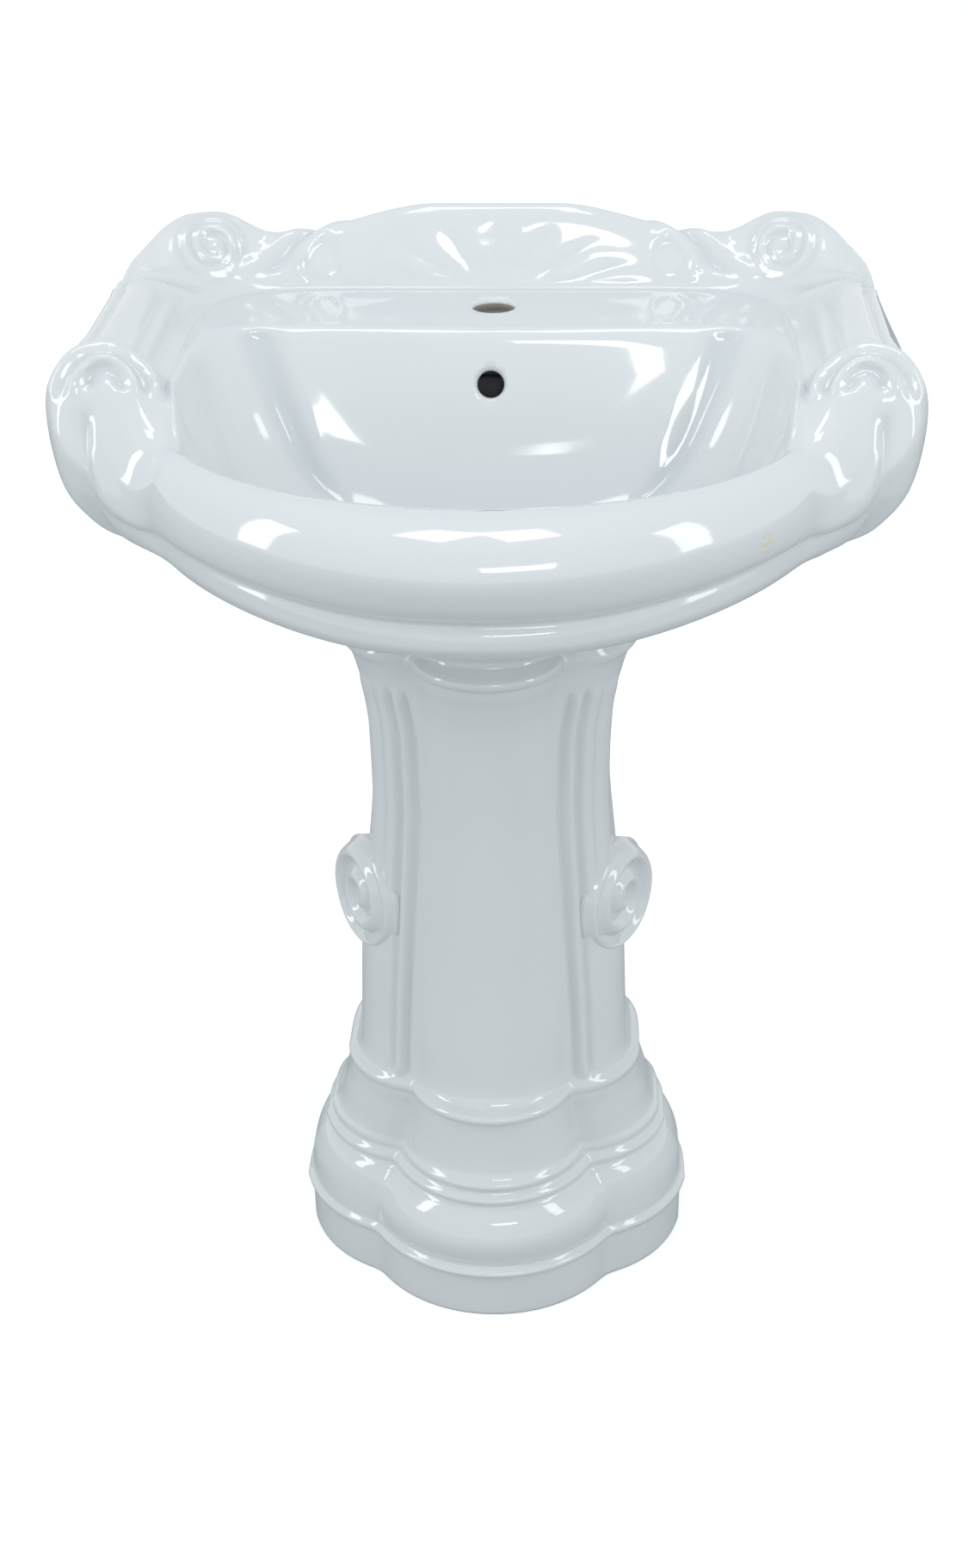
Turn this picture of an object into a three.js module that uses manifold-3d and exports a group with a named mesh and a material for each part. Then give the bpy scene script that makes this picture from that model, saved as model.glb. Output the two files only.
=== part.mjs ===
// A vitreous china pedestal sink: a basin with a rolled front rim, scrolled arms and a shaped
// backsplash, standing on a lobed pedestal that hides its pop-up waste and bottle trap.
//
// Millimetres, +Z up, front towards -Y, wall towards +Y. The origin is on the floor, under the
// middle of the sink's width and depth.
import * as THREE from 'three';
import { mergeVertices } from 'three/addons/utils/BufferGeometryUtils.js';
import Module from 'manifold-3d';

const wasm = await Module();
wasm.setup();

// ---- driving dimensions ---------------------------------------------------------------------
const width = 664;             // across the two front scrolls
const depth = 516;             // wall face to the front of the roll
const ledgeHeight = 839;       // floor to the tap ledge
const crownRise = 66;          // tap ledge to the crown of the backsplash
const bowlDepth = 167;         // tap ledge to the waste seat
const sheet = 12;              // wall of the basin casting
const armBand = 94;            // scroll's outer side to the bowl edge
const rollBand = 65;           // front of the roll to the bowl edge
const backBand = 160;          // wall to the bowl edge: tap ledge and backsplash
const drainBehindCentre = -25; // waste centre from the middle of the depth

const tapHole = 35;
const tapHoleFromWall = 92;
const overflowHole = 22;
const overflowBelowLedge = 42;
const ductWidth = 30;          // overflow passage across the sink
const ductDepth = 12;
const ductWall = 8;
const wallBoltHole = 14;
const wallBoltSpacing = 280;
const wallBoltBelowLedge = 62;

const wasteBoreClear = 4.1;    // waste bore over the waste's thread
const seatMargin = 2;          // flat seat round the waste flange
const seatDish = 4;            // height and width of the slope round the seat
const bossWall = 15;
const bossHeight = 32;         // waste seat to the underside of the boss

const footWidth = 344;
const footReach = 139;         // pedestal axis to the front of the foot
const waistHalf = 101;
const pedestalWall = 11;
const pedestalBackReach = 100; // pedestal axis to its back
const pedestalAxisY = 10;
const slotWidth = 130;         // opening up the back of the pedestal
const slotSill = 60;
const scrollRadius = 52;       // scrolls on the pedestal's shaft
const scrollHeight = 366;
const scrollTurn = 60;         // degrees that a scroll's face turns from the front to its side
const scrollStandOff = 5;      // scroll's centre outside the waist
const scrollForward = 14;      // scroll's centre in front of the pedestal axis
const seating = 2;             // pedestal top over the underside of the waste seat

const roundSides = 20;         // facets of a turned piece
const gap = 0.3;               // clearance left where two pieces touch

const wasteTube = 41.9;        // outside diameter, G 1 1/4 thread
const wasteTubeWall = 2.95;
const wasteLength = 88;
const flangeLip = 10;          // width of the waste's flange outside its tube
const flangeThickness = 3;
const topGasket = 1.8;
const lowerGasket = 4;
const lowerGasketLip = 12;
const backnutHeight = 11;
const backnutWall = 7;
const spiderDrop = 44;         // waste seat to the top of the cartridge bridge
const spiderHeight = 4;
const plugMargin = 2;          // flange left showing round the plug
const plugTravel = 9;
const stemRadius = 3.5;
const cartridgeRadius = 8.5;
const cartridgeLength = 34;

const spigotRadius = 5;        // threaded foot of the cartridge
const spigotLength = 11;

const trapDrop = 172;          // waste seat to the centre of the trap outlet
const trapRadius = 34;
const trapWall = 3;
const dipClear = 2;            // dip tube inside the waste's bore
const cupHeight = 88;
const cupRadius = 35;
const threadRadius = 31;       // thread between trap head and cup
const ringHeight = 2.4;
const outletEnd = 54;          // trap axis to the end of its outlet spigot
const pipeRadius = 16;         // 32 mm chromed pipe
const pipeWall = 2;
const spigotWall = 5;
const nutWall = 4;
const nutHeight = 19;
const washer = 3;
const escutcheonRadius = 36;
const escutcheonDepth = 9;

// ---- places worked out from them ------------------------------------------------------------
const front = -depth / 2;
const wall = depth / 2;
const half = width / 2;
const bowlHalf = half - armBand;
const bowlFront = front + rollBand;
const bowlBack = wall - backBand;
const drainY = drainBehindCentre;
const seatZ = ledgeHeight - bowlDepth;
const bossZ = seatZ - bossHeight;
const pedestalTop = seatZ - sheet + seating;
const tubeRadius = wasteTube / 2;
const boreRadius = tubeRadius - wasteTubeWall;
const wasteBore = wasteTube + wasteBoreClear;
const flangeRadius = tubeRadius + flangeLip;
const seatRadius = flangeRadius + seatMargin;
const bossRadius = wasteBore / 2 + bossWall;

// ---- materials --------------------------------------------------------------------------------
function finish(color, roughness, metalness) {
  return new THREE.MeshStandardMaterial({ color, roughness, metalness });
}
const china = finish(0xe9edf0, 0.12, 0);
const chrome = finish(0xd4d8dc, 0.12, 1);
const brass = finish(0xb9974f, 0.3, 1);
const rubber = finish(0x2a2b2d, 0.75, 0);
const nylon = finish(0xe6e4dc, 0.5, 0);
const steel = finish(0x9aa0a6, 0.35, 1);

// ---- solids -----------------------------------------------------------------------------------
function solid(geometry) {
  const bare = geometry.clone();
  bare.deleteAttribute('normal');
  bare.deleteAttribute('uv');
  const merged = mergeVertices(bare, 1e-4);
  const vertProperties = new Float32Array(merged.attributes.position.array);
  const triVerts = new Uint32Array(merged.index.array);
  return new wasm.Manifold(new wasm.Mesh({ numProp: 3, vertProperties, triVerts }));
}

function geometryOf(manifold) {
  const mesh = manifold.getMesh();
  const geometry = new THREE.BufferGeometry();
  geometry.setAttribute('position', new THREE.BufferAttribute(mesh.vertProperties, 3));
  geometry.setIndex(new THREE.BufferAttribute(mesh.triVerts, 1));
  return geometry;
}

function tube(outer, inner, low, high, sides = roundSides) {
  const profile = [[inner, low], [outer, low], [outer, high], [inner, high], [inner, low]];
  return turned(profile, sides);
}

function turned(profile, sides = roundSides) {
  const points = profile.map(([r, z]) => new THREE.Vector2(r, z));
  return new THREE.LatheGeometry(points, sides).rotateX(Math.PI / 2);
}

function rod(radius, low, high, sides = roundSides) {
  const height = high - low;
  const bar = new THREE.CylinderGeometry(radius, radius, height, sides);
  return bar.rotateX(Math.PI / 2).translate(0, 0, low + height / 2);
}

function block(x, y, z, sizeX, sizeY, sizeZ) {
  return new THREE.BoxGeometry(sizeX, sizeY, sizeZ).translate(x, y, z);
}

function prism(radius, sides, low, high, bore, boreSides = roundSides) {
  const corners = Array.from({ length: sides }, (_, i) => {
    const turn = (i / sides) * 2 * Math.PI;
    return new THREE.Vector2(radius * Math.cos(turn), radius * Math.sin(turn));
  });
  const outline = new THREE.Shape(corners);
  const hole = new THREE.Path();
  hole.absarc(0, 0, bore, 0, 2 * Math.PI, true);
  outline.holes.push(hole);
  const options = { depth: high - low, bevelEnabled: false, curveSegments: boreSides };
  return new THREE.ExtrudeGeometry(outline, options).translate(0, 0, low);
}

// A closed skin through a ring of closed loops, all with the same number of points.
function loopSolid(loops) {
  const count = loops[0].length;
  const position = [];
  const index = [];
  loops.forEach((loop) => loop.forEach((p) => position.push(p.x, p.y, p.z)));
  loops.forEach((loop, i) => {
    const next = (i + 1) % loops.length;
    for (let j = 0; j < count; j += 1) {
      const k = (j + 1) % count;
      const [a, b, c, d] = [i * count + j, i * count + k, next * count + k, next * count + j];
      index.push(a, c, b, a, d, c);
    }
  });
  const geometry = new THREE.BufferGeometry();
  geometry.setAttribute('position', new THREE.Float32BufferAttribute(position, 3));
  geometry.setIndex(index);
  return geometry;
}

function smooth(value, from, to) {
  return THREE.MathUtils.smoothstep(value, from, to);
}

// ---- basin --------------------------------------------------------------------------------------
// The casting is a skin through edge loops. A loop is a half ellipse in front of its widest
// line and a squared-off half ellipse behind it. Stations run round each loop from the front
// (0) over the side (90) to the wall (180) and back along the other side.
const bowlLoops = [
  // shares of the bowl's half width, front length and back length; height shares of its depth
  { side: 0.39, front: 0.446, back: 0.366, square: 2.4, bow: 0, dips: [0.94, 0.94, 0.89] },
  { side: 0.63, front: 0.696, back: 0.56, square: 2.8, bow: 4, dips: [0.83, 0.82, 0.737] },
  { side: 0.824, front: 0.839, back: 0.756, square: 3.2, bow: 10, dips: [0.64, 0.605, 0.545] },
  { side: 0.933, front: 0.905, back: 0.886, square: 3.6, bow: 16, dips: [0.443, 0.323, 0.311] },
  { side: 0.979, front: 0.946, back: 0.959, square: 4.2, bow: 22, dips: [0.305, 0.126, 0.144] },
  { side: 1, front: 1, back: 1, square: 4.6, bow: 26, dips: [0.24, 0.03, 0.036] },
];
const rimLoops = [
  // insets from the side, the front and the wall; inset and point of the front curve; heights
  // above the tap ledge at the front, side and wall; rise of the front curve towards the
  // scrolls; swelling at the scrolls; share of the backsplash's waves
  [90, 57, 155, 90, 0, 5, [-35, 0, 0], 0, 0, 0],
  [86, 49, 44, 86, 0.03, 7, [-33, 0, 0], 0, 0, 0],
  [78, 42, 39, 82, 0.05, 8, [-32, 4, 11], 0, 0, 0],
  [62, 30, 32, 75, 0.07, 9, [-34, 17, 36], 0, 0, 0.55],
  [46, 18, 24, 68, 0.09, 9, [-41, 26, 59], 0, 0, 0.95],
  [32, 7, 16, 62, 0.11, 9, [-53, 27, 66], 0, 0, 1],
  [19, 0, 7, 58, 0.12, 9, [-71, 21, 60], 2, 6, 0.95],
  [11, 4, 0, 58, 0.12, 9, [-91, 3, 31], 6, 8, 0.2],
  [7, 12, 0, 62, 0.12, 9, [-103, -24, -9], 10, 7, 0],
  [14, 19, 0, 67, 0.12, 9, [-109, -67, -49], 13, 7, 0],
  [32, 15, 0, 67, 0.13, 9, [-117, -97, -79], 13, 4, 0],
  [50, 14, 0, 69, 0.13, 9, [-127, -117, -104], 13, 0, 0],
  [64, 19, 0, 75, 0.13, 9, [-135, -133, -127], 12, 0, 0],
];
const waistOfLoops = -38;        // Y of a loop's widest line, behind the middle of the front
const rollEnds = 68;             // station where the front roll starts to turn into the arm
const armStarts = 88;
const halfStations = 30;
const backRootFromWall = 98;     // where the arms start to rise to the backsplash
const backTopFromWall = 38;
const hollowRoot = wall - 44;      // foot of the backsplash, where the hollow behind it starts

function stations() {
  const list = [];
  for (let i = 0; i < 2 * halfStations; i += 1) {
    list.push((i / halfStations) * 180);
  }
  return list;
}

// A station's point on a loop. It goes up one side to the wall and comes back down the other.
function loopPoint(loop, station) {
  const mirror = station > 180 ? -1 : 1;
  const angle = station > 180 ? 360 - station : station;
  const turn = THREE.MathUtils.degToRad(angle);
  const c = Math.cos(turn);
  const s = Math.sin(turn);
  const armShare = smooth(angle, rollEnds, armStarts);
  const across = THREE.MathUtils.lerp(loop.frontHalf, loop.sideHalf, armShare);
  const swell = loop.bulge * smooth(angle, 70, 82) * (1 - smooth(angle, 88, 100));
  let x = (across + swell) * s * (1 - loop.point * c * c);
  let y = loop.widestY - (loop.widestY - loop.frontY) * c;
  if (angle > 90) {
    const reach = (Math.abs(c) ** loop.square + s ** loop.square) ** (-1 / loop.square);
    x = across * reach * s + swell;
    y = loop.widestY - (loop.backY - loop.widestY) * c * reach;
    y += loop.bow * (x / across) ** 2 * smooth(angle, 100, 130);
  }
  const [zFront, zSide, zBack] = loop.heights;
  const zRoll = zFront + loop.lift * smooth(angle, 15, 70);
  let z = THREE.MathUtils.lerp(zRoll, zSide, smooth(angle, 72, 90));
  if (angle > 90) {
    const backShare = smooth(y, wall - backRootFromWall, wall - backTopFromWall);
    z = THREE.MathUtils.lerp(zSide, zBack, backShare);
    z += loop.wave * backsplashWave(x) * smooth(y, wall - backRootFromWall, wall - 58);
  }
  return new THREE.Vector3(mirror * x, y, z);
}

// The backsplash's top edge, from its crown: down to a dip, up to the rear scroll, off the arm.
function backsplashWave(x) {
  const dip = -25 * smooth(x, half - 282, half - 147);
  const scroll = 19 * smooth(x, half - 140, half - 92);
  const shoulder = -36 * smooth(x, half - 74, half + 4);
  return dip + scroll + shoulder;
}

function basinLoops() {
  const bowl = bowlLoops.map((row) => ({
    frontHalf: bowlHalf * row.side,
    sideHalf: bowlHalf * row.side,
    widestY: waistOfLoops + 8 * (1 - row.side),
    frontY: drainY - (drainY - bowlFront) * row.front,
    backY: drainY + (bowlBack - drainY) * row.back,
    square: row.square,
    bow: row.bow,
    point: 0,
    bulge: 0,
    lift: 0,
    wave: 0,
    heights: row.dips.map((dip) => ledgeHeight - bowlDepth * dip),
  }));
  const rim = rimLoops.map((row, i) => {
    const [side, ahead, behind, curve, point, square, rise, lift, bulge, wave] = row;
    const crown = i > 1 ? rise[2] - 66 + crownRise : rise[2];
    return {
      frontHalf: half - curve,
      sideHalf: half - side,
      widestY: waistOfLoops + 8,
      frontY: front + ahead,
      backY: wall - behind,
      square,
      bow: i === 0 ? 26 : 0,
      point,
      bulge,
      lift,
      wave,
      heights: [ledgeHeight + rise[0], ledgeHeight + rise[1], ledgeHeight + crown],
    };
  });
  return bowl.concat(rim);
}

function circleLoop(radius, z) {
  return stations().map((station) => {
    const turn = THREE.MathUtils.degToRad(station);
    return new THREE.Vector3(radius * Math.sin(turn), drainY - radius * Math.cos(turn), z);
  });
}

// Points one sheet behind the face of the loops, square to it. The backsplash stays solid
// above the tap ledge, so the hollow's roof drops there.
function offsetLoop(faces, i, distance) {
  const count = faces[i].length;
  const before = faces[Math.max(i - 1, 0)];
  const after = faces[Math.min(i + 1, faces.length - 1)];
  return faces[i].map((p, j) => {
    const roof = ledgeHeight - sheet + 26 * (1 - smooth(p.y, wall - 98, wall - 58));
    const along = faces[i][(j + 1) % count].clone().sub(faces[i][(j + count - 1) % count]);
    const across = after[j].clone().sub(before[j]);
    const normal = across.cross(along).normalize();
    const behind = p.clone().addScaledVector(normal, -distance);
    behind.z = Math.min(behind.z, roof);
    if (p.y > hollowRoot) {
      const share = (p.y - hollowRoot) / (wall - hollowRoot);
      behind.y = THREE.MathUtils.lerp(hollowRoot, wall - sheet, share);
    }
    return behind;
  });
}

function basinShell() {
  const faces = basinLoops().map((loop) => stations().map((station) => loopPoint(loop, station)));
  const seat = [
    circleLoop(wasteBore / 2, bossZ),
    circleLoop(wasteBore / 2, seatZ),
    circleLoop(seatRadius, seatZ),
    circleLoop(seatRadius + seatDish, seatZ + seatDish),
  ];
  const lipLoop = faces[faces.length - 1].map((p) => {
    const inward = new THREE.Vector3(-p.x, -p.y, 0).normalize();
    return p.clone().addScaledVector(inward, sheet * 0.6).add(new THREE.Vector3(0, 0, -2));
  });
  const hidden = [18, 16, 14, 12, 11, 10, 9, 7, 4, 3, 2, 1, 0];
  const back = hidden.map((i) => offsetLoop(faces, i, sheet));
  const boss = [circleLoop(bossRadius, seatZ - sheet), circleLoop(bossRadius, bossZ)];
  return loopSolid(seat.concat(faces, [lipLoop], back, boss));
}

// Overflow: from the hole in the rear wall of the bowl, down a passage behind it, to the waste.
const ductPath = [[113, 806], [108, 788], [90, 738], [64, 704], [38, 676], [14, 652], [-12, 650]]
  .map(([y, z]) => new THREE.Vector2(y, z + seatZ - 672));

function ductSolid(halfDepth, across, start, end) {
  const path = ductPath.slice(start, end);
  const sides = path.map((p, i) => {
    const ahead = path[Math.min(i + 1, path.length - 1)];
    const behind = path[Math.max(i - 1, 0)];
    const normal = ahead.clone().sub(behind).normalize().rotateAround(new THREE.Vector2(), Math.PI / 2);
    return [
      p.clone().addScaledVector(normal, halfDepth),
      p.clone().addScaledVector(normal, -halfDepth),
    ];
  });
  const outline = sides.map((pair) => pair[0]).concat(sides.map((pair) => pair[1]).reverse());
  const options = { depth: across, bevelEnabled: false };
  const slab = new THREE.ExtrudeGeometry(new THREE.Shape(outline), options);
  slab.translate(0, 0, -across / 2);
  // the outline's X and Y become the sink's Y and Z
  return slab.applyMatrix4(new THREE.Matrix4().set(0, 0, 1, 0, 1, 0, 0, 0, 0, 1, 0, 0, 0, 0, 0, 1));
}

// Square to the rear wall of the bowl, which leans back.
function overflowBore() {
  const lean = THREE.MathUtils.degToRad(18);
  const bore = rod(overflowHole / 2, -16, 16, 24);
  return bore.rotateX(Math.PI / 2 - lean).translate(0, bowlBack - 5, ledgeHeight - overflowBelowLedge - 2);
}

// Height of the bowl's face over a point of the floor plan, from the nearest loop points.
function bowlHeightAt(x, y) {
  const loops = basinLoops().slice(0, bowlLoops.length);
  const points = loops.flatMap((loop) => stations().map((station) => loopPoint(loop, station)));
  const near = points.map((p) => [Math.hypot(p.x - x, p.y - y) + gap, p.z]);
  near.sort((a, b) => a[0] - b[0]);
  const nearest = near.slice(0, 4);
  const shares = nearest.reduce((sum, [distance]) => sum + 1 / distance, 0);
  return nearest.reduce((sum, [distance, z]) => sum + z / distance, 0) / shares;
}

// A lug under the bowl that stands on the pedestal's top and runs up into the casting.
function seatingLug(x, y, sizeX, sizeY) {
  const low = pedestalTop + gap;
  const ends = [-sizeY / 2, 0, sizeY / 2];
  const inner = Math.abs(x) - sizeX / 2;
  const top = Math.min(...ends.map((end) => bowlHeightAt(inner, y + end))) - sheet / 5;
  return block(x, y, (low + top) / 2, sizeX, sizeY, top - low);
}

function basin() {
  let body = solid(basinShell());
  for (const sign of [-1, 1]) {
    const scrollEnd = new THREE.SphereGeometry(1, 18, 10).scale(36, 31, 35);
    scrollEnd.translate(sign * (half - 36), -48, ledgeHeight - 13);
    const rearScroll = rod(23, -14, 14).rotateX(Math.PI / 2);
    rearScroll.translate(sign * (half - 90), wall - 40, ledgeHeight + 38);
    body = body.add(solid(scrollEnd)).add(solid(rearScroll));
    body = body.add(solid(seatingLug(sign * (waistHalf + 19), pedestalAxisY, 12, 60)));
  }
  body = body.add(solid(seatingLug(0, pedestalAxisY - 104, 60, 12)));
  body = body.add(solid(ductSolid(ductDepth / 2 + ductWall, ductWidth + 2 * ductWall, 0, 6)));
  body = body.subtract(solid(ductSolid(ductDepth / 2, ductWidth, 1, 7)));
  body = body.subtract(solid(overflowBore()));
  body = body.subtract(solid(rod(wasteBore / 2, bossZ - 1, seatZ + 1).translate(0, drainY, 0)));
  const tapBore = rod(tapHole / 2, ledgeHeight - 40, ledgeHeight + 20, 36);
  body = body.subtract(solid(tapBore.translate(0, wall - tapHoleFromWall - 2, 0)));
  for (const sign of [-1, 1]) {
    const bolt = rod(wallBoltHole / 2, -20, 20, 20).rotateX(Math.PI / 2);
    bolt.translate(sign * wallBoltSpacing / 2, wall, ledgeHeight - wallBoltBelowLedge);
    body = body.subtract(solid(bolt));
  }
  return geometryOf(body);
}

// ---- pedestal -----------------------------------------------------------------------------------
// In plan the pedestal is a front lobe between two side lobes, squared off at the back. Each row
// gives a height, the front lobe's reach and radius, the half width, and the side lobe's radius
// and how far its centre lies behind the axis.
const footRows = [
  [0, footReach, 120, 172, 108, 20],
  [44, footReach + 2, 120, 174, 108, 20],
  [49, footReach + 6, 121, 177, 110, 20],
  [54, footReach, 118, 172, 107, 20],
  [62, footReach + 4, 118, 173, 107, 20],
  [80, footReach + 7, 115, 173, 104, 19],
  [98, footReach + 1, 106, 167, 98, 17],
  [110, footReach - 9, 97, 158, 88, 15],
  [114, footReach - 12, 93, 154, 85, 15],
  [119, footReach - 7, 93, 158, 84, 14],
  [125, footReach - 13, 88, 151, 80, 13],
  [133, footReach - 10, 84, 152, 77, 12],
  [140, footReach - 16, 82, 145, 74, 9],
  [160, footReach - 20, 79, 138, 72, 4],
  [190, footReach - 22, 76, 129, 70, -3],
  [200, footReach - 14, 75, 132, 70, -5],
  [208, footReach - 27, 75, 123, 68, -5],
].map((row) => [row[0], row[1], row[2], row[3] - 172 + footWidth / 2, row[4], row[5]]);
// from the top moulding of the foot (0) to the start of the capital (1)
const shaftRows = [
  [0.06, 107, 76, waistHalf + 17, 66, -5],
  [0.27, 101, 78, waistHalf + 15, 65, -3],
  [0.5, 95, 75, waistHalf + 7, 62, -1],
  [0.74, 90, 70, waistHalf, 60, 0],
  [0.92, 91, 66, waistHalf + 3, 60, 0],
];
// below the top of the pedestal
const capitalRows = [
  [78, 97, 64, waistHalf + 11, 60, 0],
  [62, 101, 64, waistHalf + 15, 61, 0],
  [56, 108, 66, waistHalf + 20, 62, 0],
  [51, 110, 66, waistHalf + 22, 62, 0],
  [46, 106, 64, waistHalf + 20, 61, 0],
  [38, 98, 60, waistHalf + 17, 60, 0],
  [23, 98, 60, waistHalf + 18, 60, 0],
  [8, 108, 66, waistHalf + 24, 63, 0],
  [0, 110, 67, waistHalf + 25, 63, 0],
];
const pedestalStations = 48;

function pedestalRows() {
  const shaftLow = footRows[footRows.length - 1][0];
  const shaftHigh = pedestalTop - capitalRows[0][0];
  const shaft = shaftRows.map((row) => [
    THREE.MathUtils.lerp(shaftLow, shaftHigh, row[0]), ...row.slice(1),
  ]);
  const capital = capitalRows.map((row) => [pedestalTop - row[0], ...row.slice(1)]);
  return footRows.concat(shaft, capital);
}

// How far a circle around (x, y) reaches from the pedestal's axis in a direction.
function reachOfCircle(direction, x, y, radius) {
  const along = direction.x * x + direction.y * y;
  return along + Math.sqrt(along * along - x * x - y * y + radius * radius);
}

function pedestalLoop([z, reach, lobe, halfWidth, sideRadius, sideY], wallInset) {
  const loop = [];
  for (let i = 0; i < pedestalStations; i += 1) {
    const turn = (i / pedestalStations) * 2 * Math.PI;
    const direction = new THREE.Vector2(Math.sin(turn), -Math.cos(turn));
    const facing = new THREE.Vector2(Math.abs(direction.x), direction.y);
    let distance = Math.max(
      reachOfCircle(facing, 0, lobe - reach, lobe),
      reachOfCircle(facing, halfWidth - sideRadius, sideY, sideRadius),
    );
    if (direction.y > 0) {
      const side = reachOfCircle(new THREE.Vector2(1, 0), halfWidth - sideRadius, sideY, sideRadius);
      const across = Math.abs(direction.x) / side;
      const back = direction.y / pedestalBackReach;
      distance = (across ** 4 + back ** 4) ** -0.25;
    }
    distance -= wallInset;
    const x = direction.x * distance;
    loop.push(new THREE.Vector3(x, pedestalAxisY + direction.y * distance, z));
  }
  return loop;
}

function pedestal() {
  const rows = pedestalRows();
  const outside = rows.map((row) => pedestalLoop(row, 0)).reverse();
  const inner = [0, 3, 6, 10, 13, 16, 17, 18, 19, 20, 21, 22, 27, 30];
  const inside = inner.map((i) => pedestalLoop(rows[i], pedestalWall));
  let body = solid(loopSolid(outside.concat(inside)));
  for (const sign of [-1, 1]) {
    const scroll = rod(scrollRadius, -20, 12, 32).rotateX(Math.PI / 2);
    scroll.rotateZ(sign * THREE.MathUtils.degToRad(scrollTurn));
    const scrollY = pedestalAxisY - scrollForward;
    scroll.translate(sign * (waistHalf + scrollStandOff), scrollY, scrollHeight);
    body = body.add(solid(scroll));
  }
  const slotHeight = pedestalTop - slotSill + 20;
  const slotY = pedestalAxisY + pedestalBackReach;
  const slot = block(0, slotY, slotSill + slotHeight / 2, slotWidth, 60, slotHeight);
  return geometryOf(body.subtract(solid(slot)));
}

// ---- waste ----------------------------------------------------------------------------------------
// Heights here are from the waste seat in the bowl.
const flangeLow = topGasket + 2 * gap;
const flangeTop = flangeLow + flangeThickness;
const threadClear = tubeRadius + gap + 0.05;
const lowerGasketTop = -bossHeight - gap;
const backnutTop = lowerGasketTop - lowerGasket - gap;
const sealThickness = 2.6;
const capLow = flangeTop + gap + sealThickness + plugTravel;
const capHub = 7;
const hubDepth = 6;
const plugRadius = flangeRadius - plugMargin;
const cartridgeNutLow = -spiderDrop - spiderHeight - gap - 3.5;

function wasteBody() {
  let body = solid(turned([
    [boreRadius, -wasteLength], [tubeRadius, -wasteLength], [tubeRadius, flangeLow],
    [flangeRadius, flangeLow], [flangeRadius, flangeLow + 1.2], [flangeRadius - 3, flangeTop],
    [boreRadius + 5, flangeTop], [boreRadius, flangeTop - 1.6], [boreRadius, -wasteLength],
  ]));
  const bridgeZ = -spiderDrop - spiderHeight;
  body = body.add(solid(tube(9, spigotRadius + gap, bridgeZ, -spiderDrop, 16)));
  const armZ = bridgeZ + spiderHeight / 2;
  for (let i = 0; i < 3; i += 1) {
    const arm = block((9 + boreRadius) / 2, 0, armZ, boreRadius - 7, 3.6, spiderHeight - 0.4);
    body = body.add(solid(arm.rotateZ(Math.PI / 2 + (i * 2 * Math.PI) / 3)));
  }
  const slot = block(0, 0, -18, 16, wasteTube + 4, ductDepth);
  return geometryOf(body.subtract(solid(slot)));
}

function plugCap() {
  const socket = stemRadius + gap;
  return turned([
    [socket, capLow - hubDepth], [capHub, capLow - hubDepth], [capHub, capLow],
    [plugRadius, capLow], [plugRadius, capLow + 1.5], [plugRadius - 3, capLow + 3.4],
    [12, capLow + 4.8], [0, capLow + 5.2], [0, capLow + 2], [socket, capLow + 2],
    [socket, capLow - hubDepth],
  ]);
}

const cartridgeLow = -spiderDrop + gap;
const cartridgeTop = cartridgeLow + cartridgeLength;
const cavityRadius = 6.6;
const cavityLow = cartridgeLow + 3;
const cavityTop = cartridgeTop - 3;
const collarRadius = cavityRadius - gap;
const collarTop = cavityTop - gap;
const collarHeight = 2;

function plugCartridge() {
  return turned([
    [0, cartridgeLow - spigotLength], [spigotRadius, cartridgeLow - spigotLength],
    [spigotRadius, cartridgeLow], [cartridgeRadius, cartridgeLow],
    [cartridgeRadius, cartridgeTop], [stemRadius + gap, cartridgeTop],
    [stemRadius + gap, cavityTop], [cavityRadius, cavityTop], [cavityRadius, cavityLow],
    [0, cavityLow], [0, cartridgeLow - spigotLength],
  ], 16);
}

function plugStem() {
  return turned([
    [0, collarTop - collarHeight], [collarRadius, collarTop - collarHeight],
    [collarRadius, collarTop], [stemRadius, collarTop], [stemRadius, capLow + 2 - gap],
    [0, capLow + 2 - gap], [0, collarTop - collarHeight],
  ], 16);
}

function coil(low, high, radius, wire, turns) {
  class Helix extends THREE.Curve {
    getPoint(t) {
      const turn = t * turns * 2 * Math.PI;
      const z = THREE.MathUtils.lerp(low + wire, high - wire, t);
      return new THREE.Vector3(radius * Math.cos(turn), radius * Math.sin(turn), z);
    }
  }
  const section = new THREE.Shape();
  section.absarc(0, 0, wire, 0, 2 * Math.PI);
  const options = { steps: turns * 10, extrudePath: new Helix(), curveSegments: 3, bevelEnabled: false };
  return new THREE.ExtrudeGeometry(section, options);
}

// ---- trap -------------------------------------------------------------------------------------------
const pipeClear = gap + 0.1;
const dipRadius = boreRadius - dipClear;
const inletSpigot = dipRadius + spigotWall;
const outletSpigot = pipeRadius + spigotWall;
const headShoulder = 7;          // above the outlet spigot
const headTop = -trapDrop + outletSpigot + headShoulder;
const headLow = -trapDrop - outletSpigot - 3;
const inletEnd = headTop + 16;
const lip = 3;
const dipLow = headLow - 40;

// A slip nut and its washer round a pipe, on a spigot that ends at `end`, both on the +Z axis.
function slipNut(end, spigot, pipe) {
  const washerTop = end + gap + washer;
  const nutTop = washerTop + gap + lip;
  const inner = pipe + pipeClear;
  const thread = spigot + gap;
  const outer = spigot + nutWall;
  return turned([
    [inner, nutTop - lip], [thread, nutTop - lip], [thread, nutTop - nutHeight],
    [outer, nutTop - nutHeight], [outer, nutTop - 1.5], [outer - 1.5, nutTop],
    [inner, nutTop], [inner, nutTop - lip],
  ]);
}

function slipWasher(end, spigot, pipe) {
  return tube(spigot - 0.2, pipe + pipeClear, end + gap, end + gap + washer);
}

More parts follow.
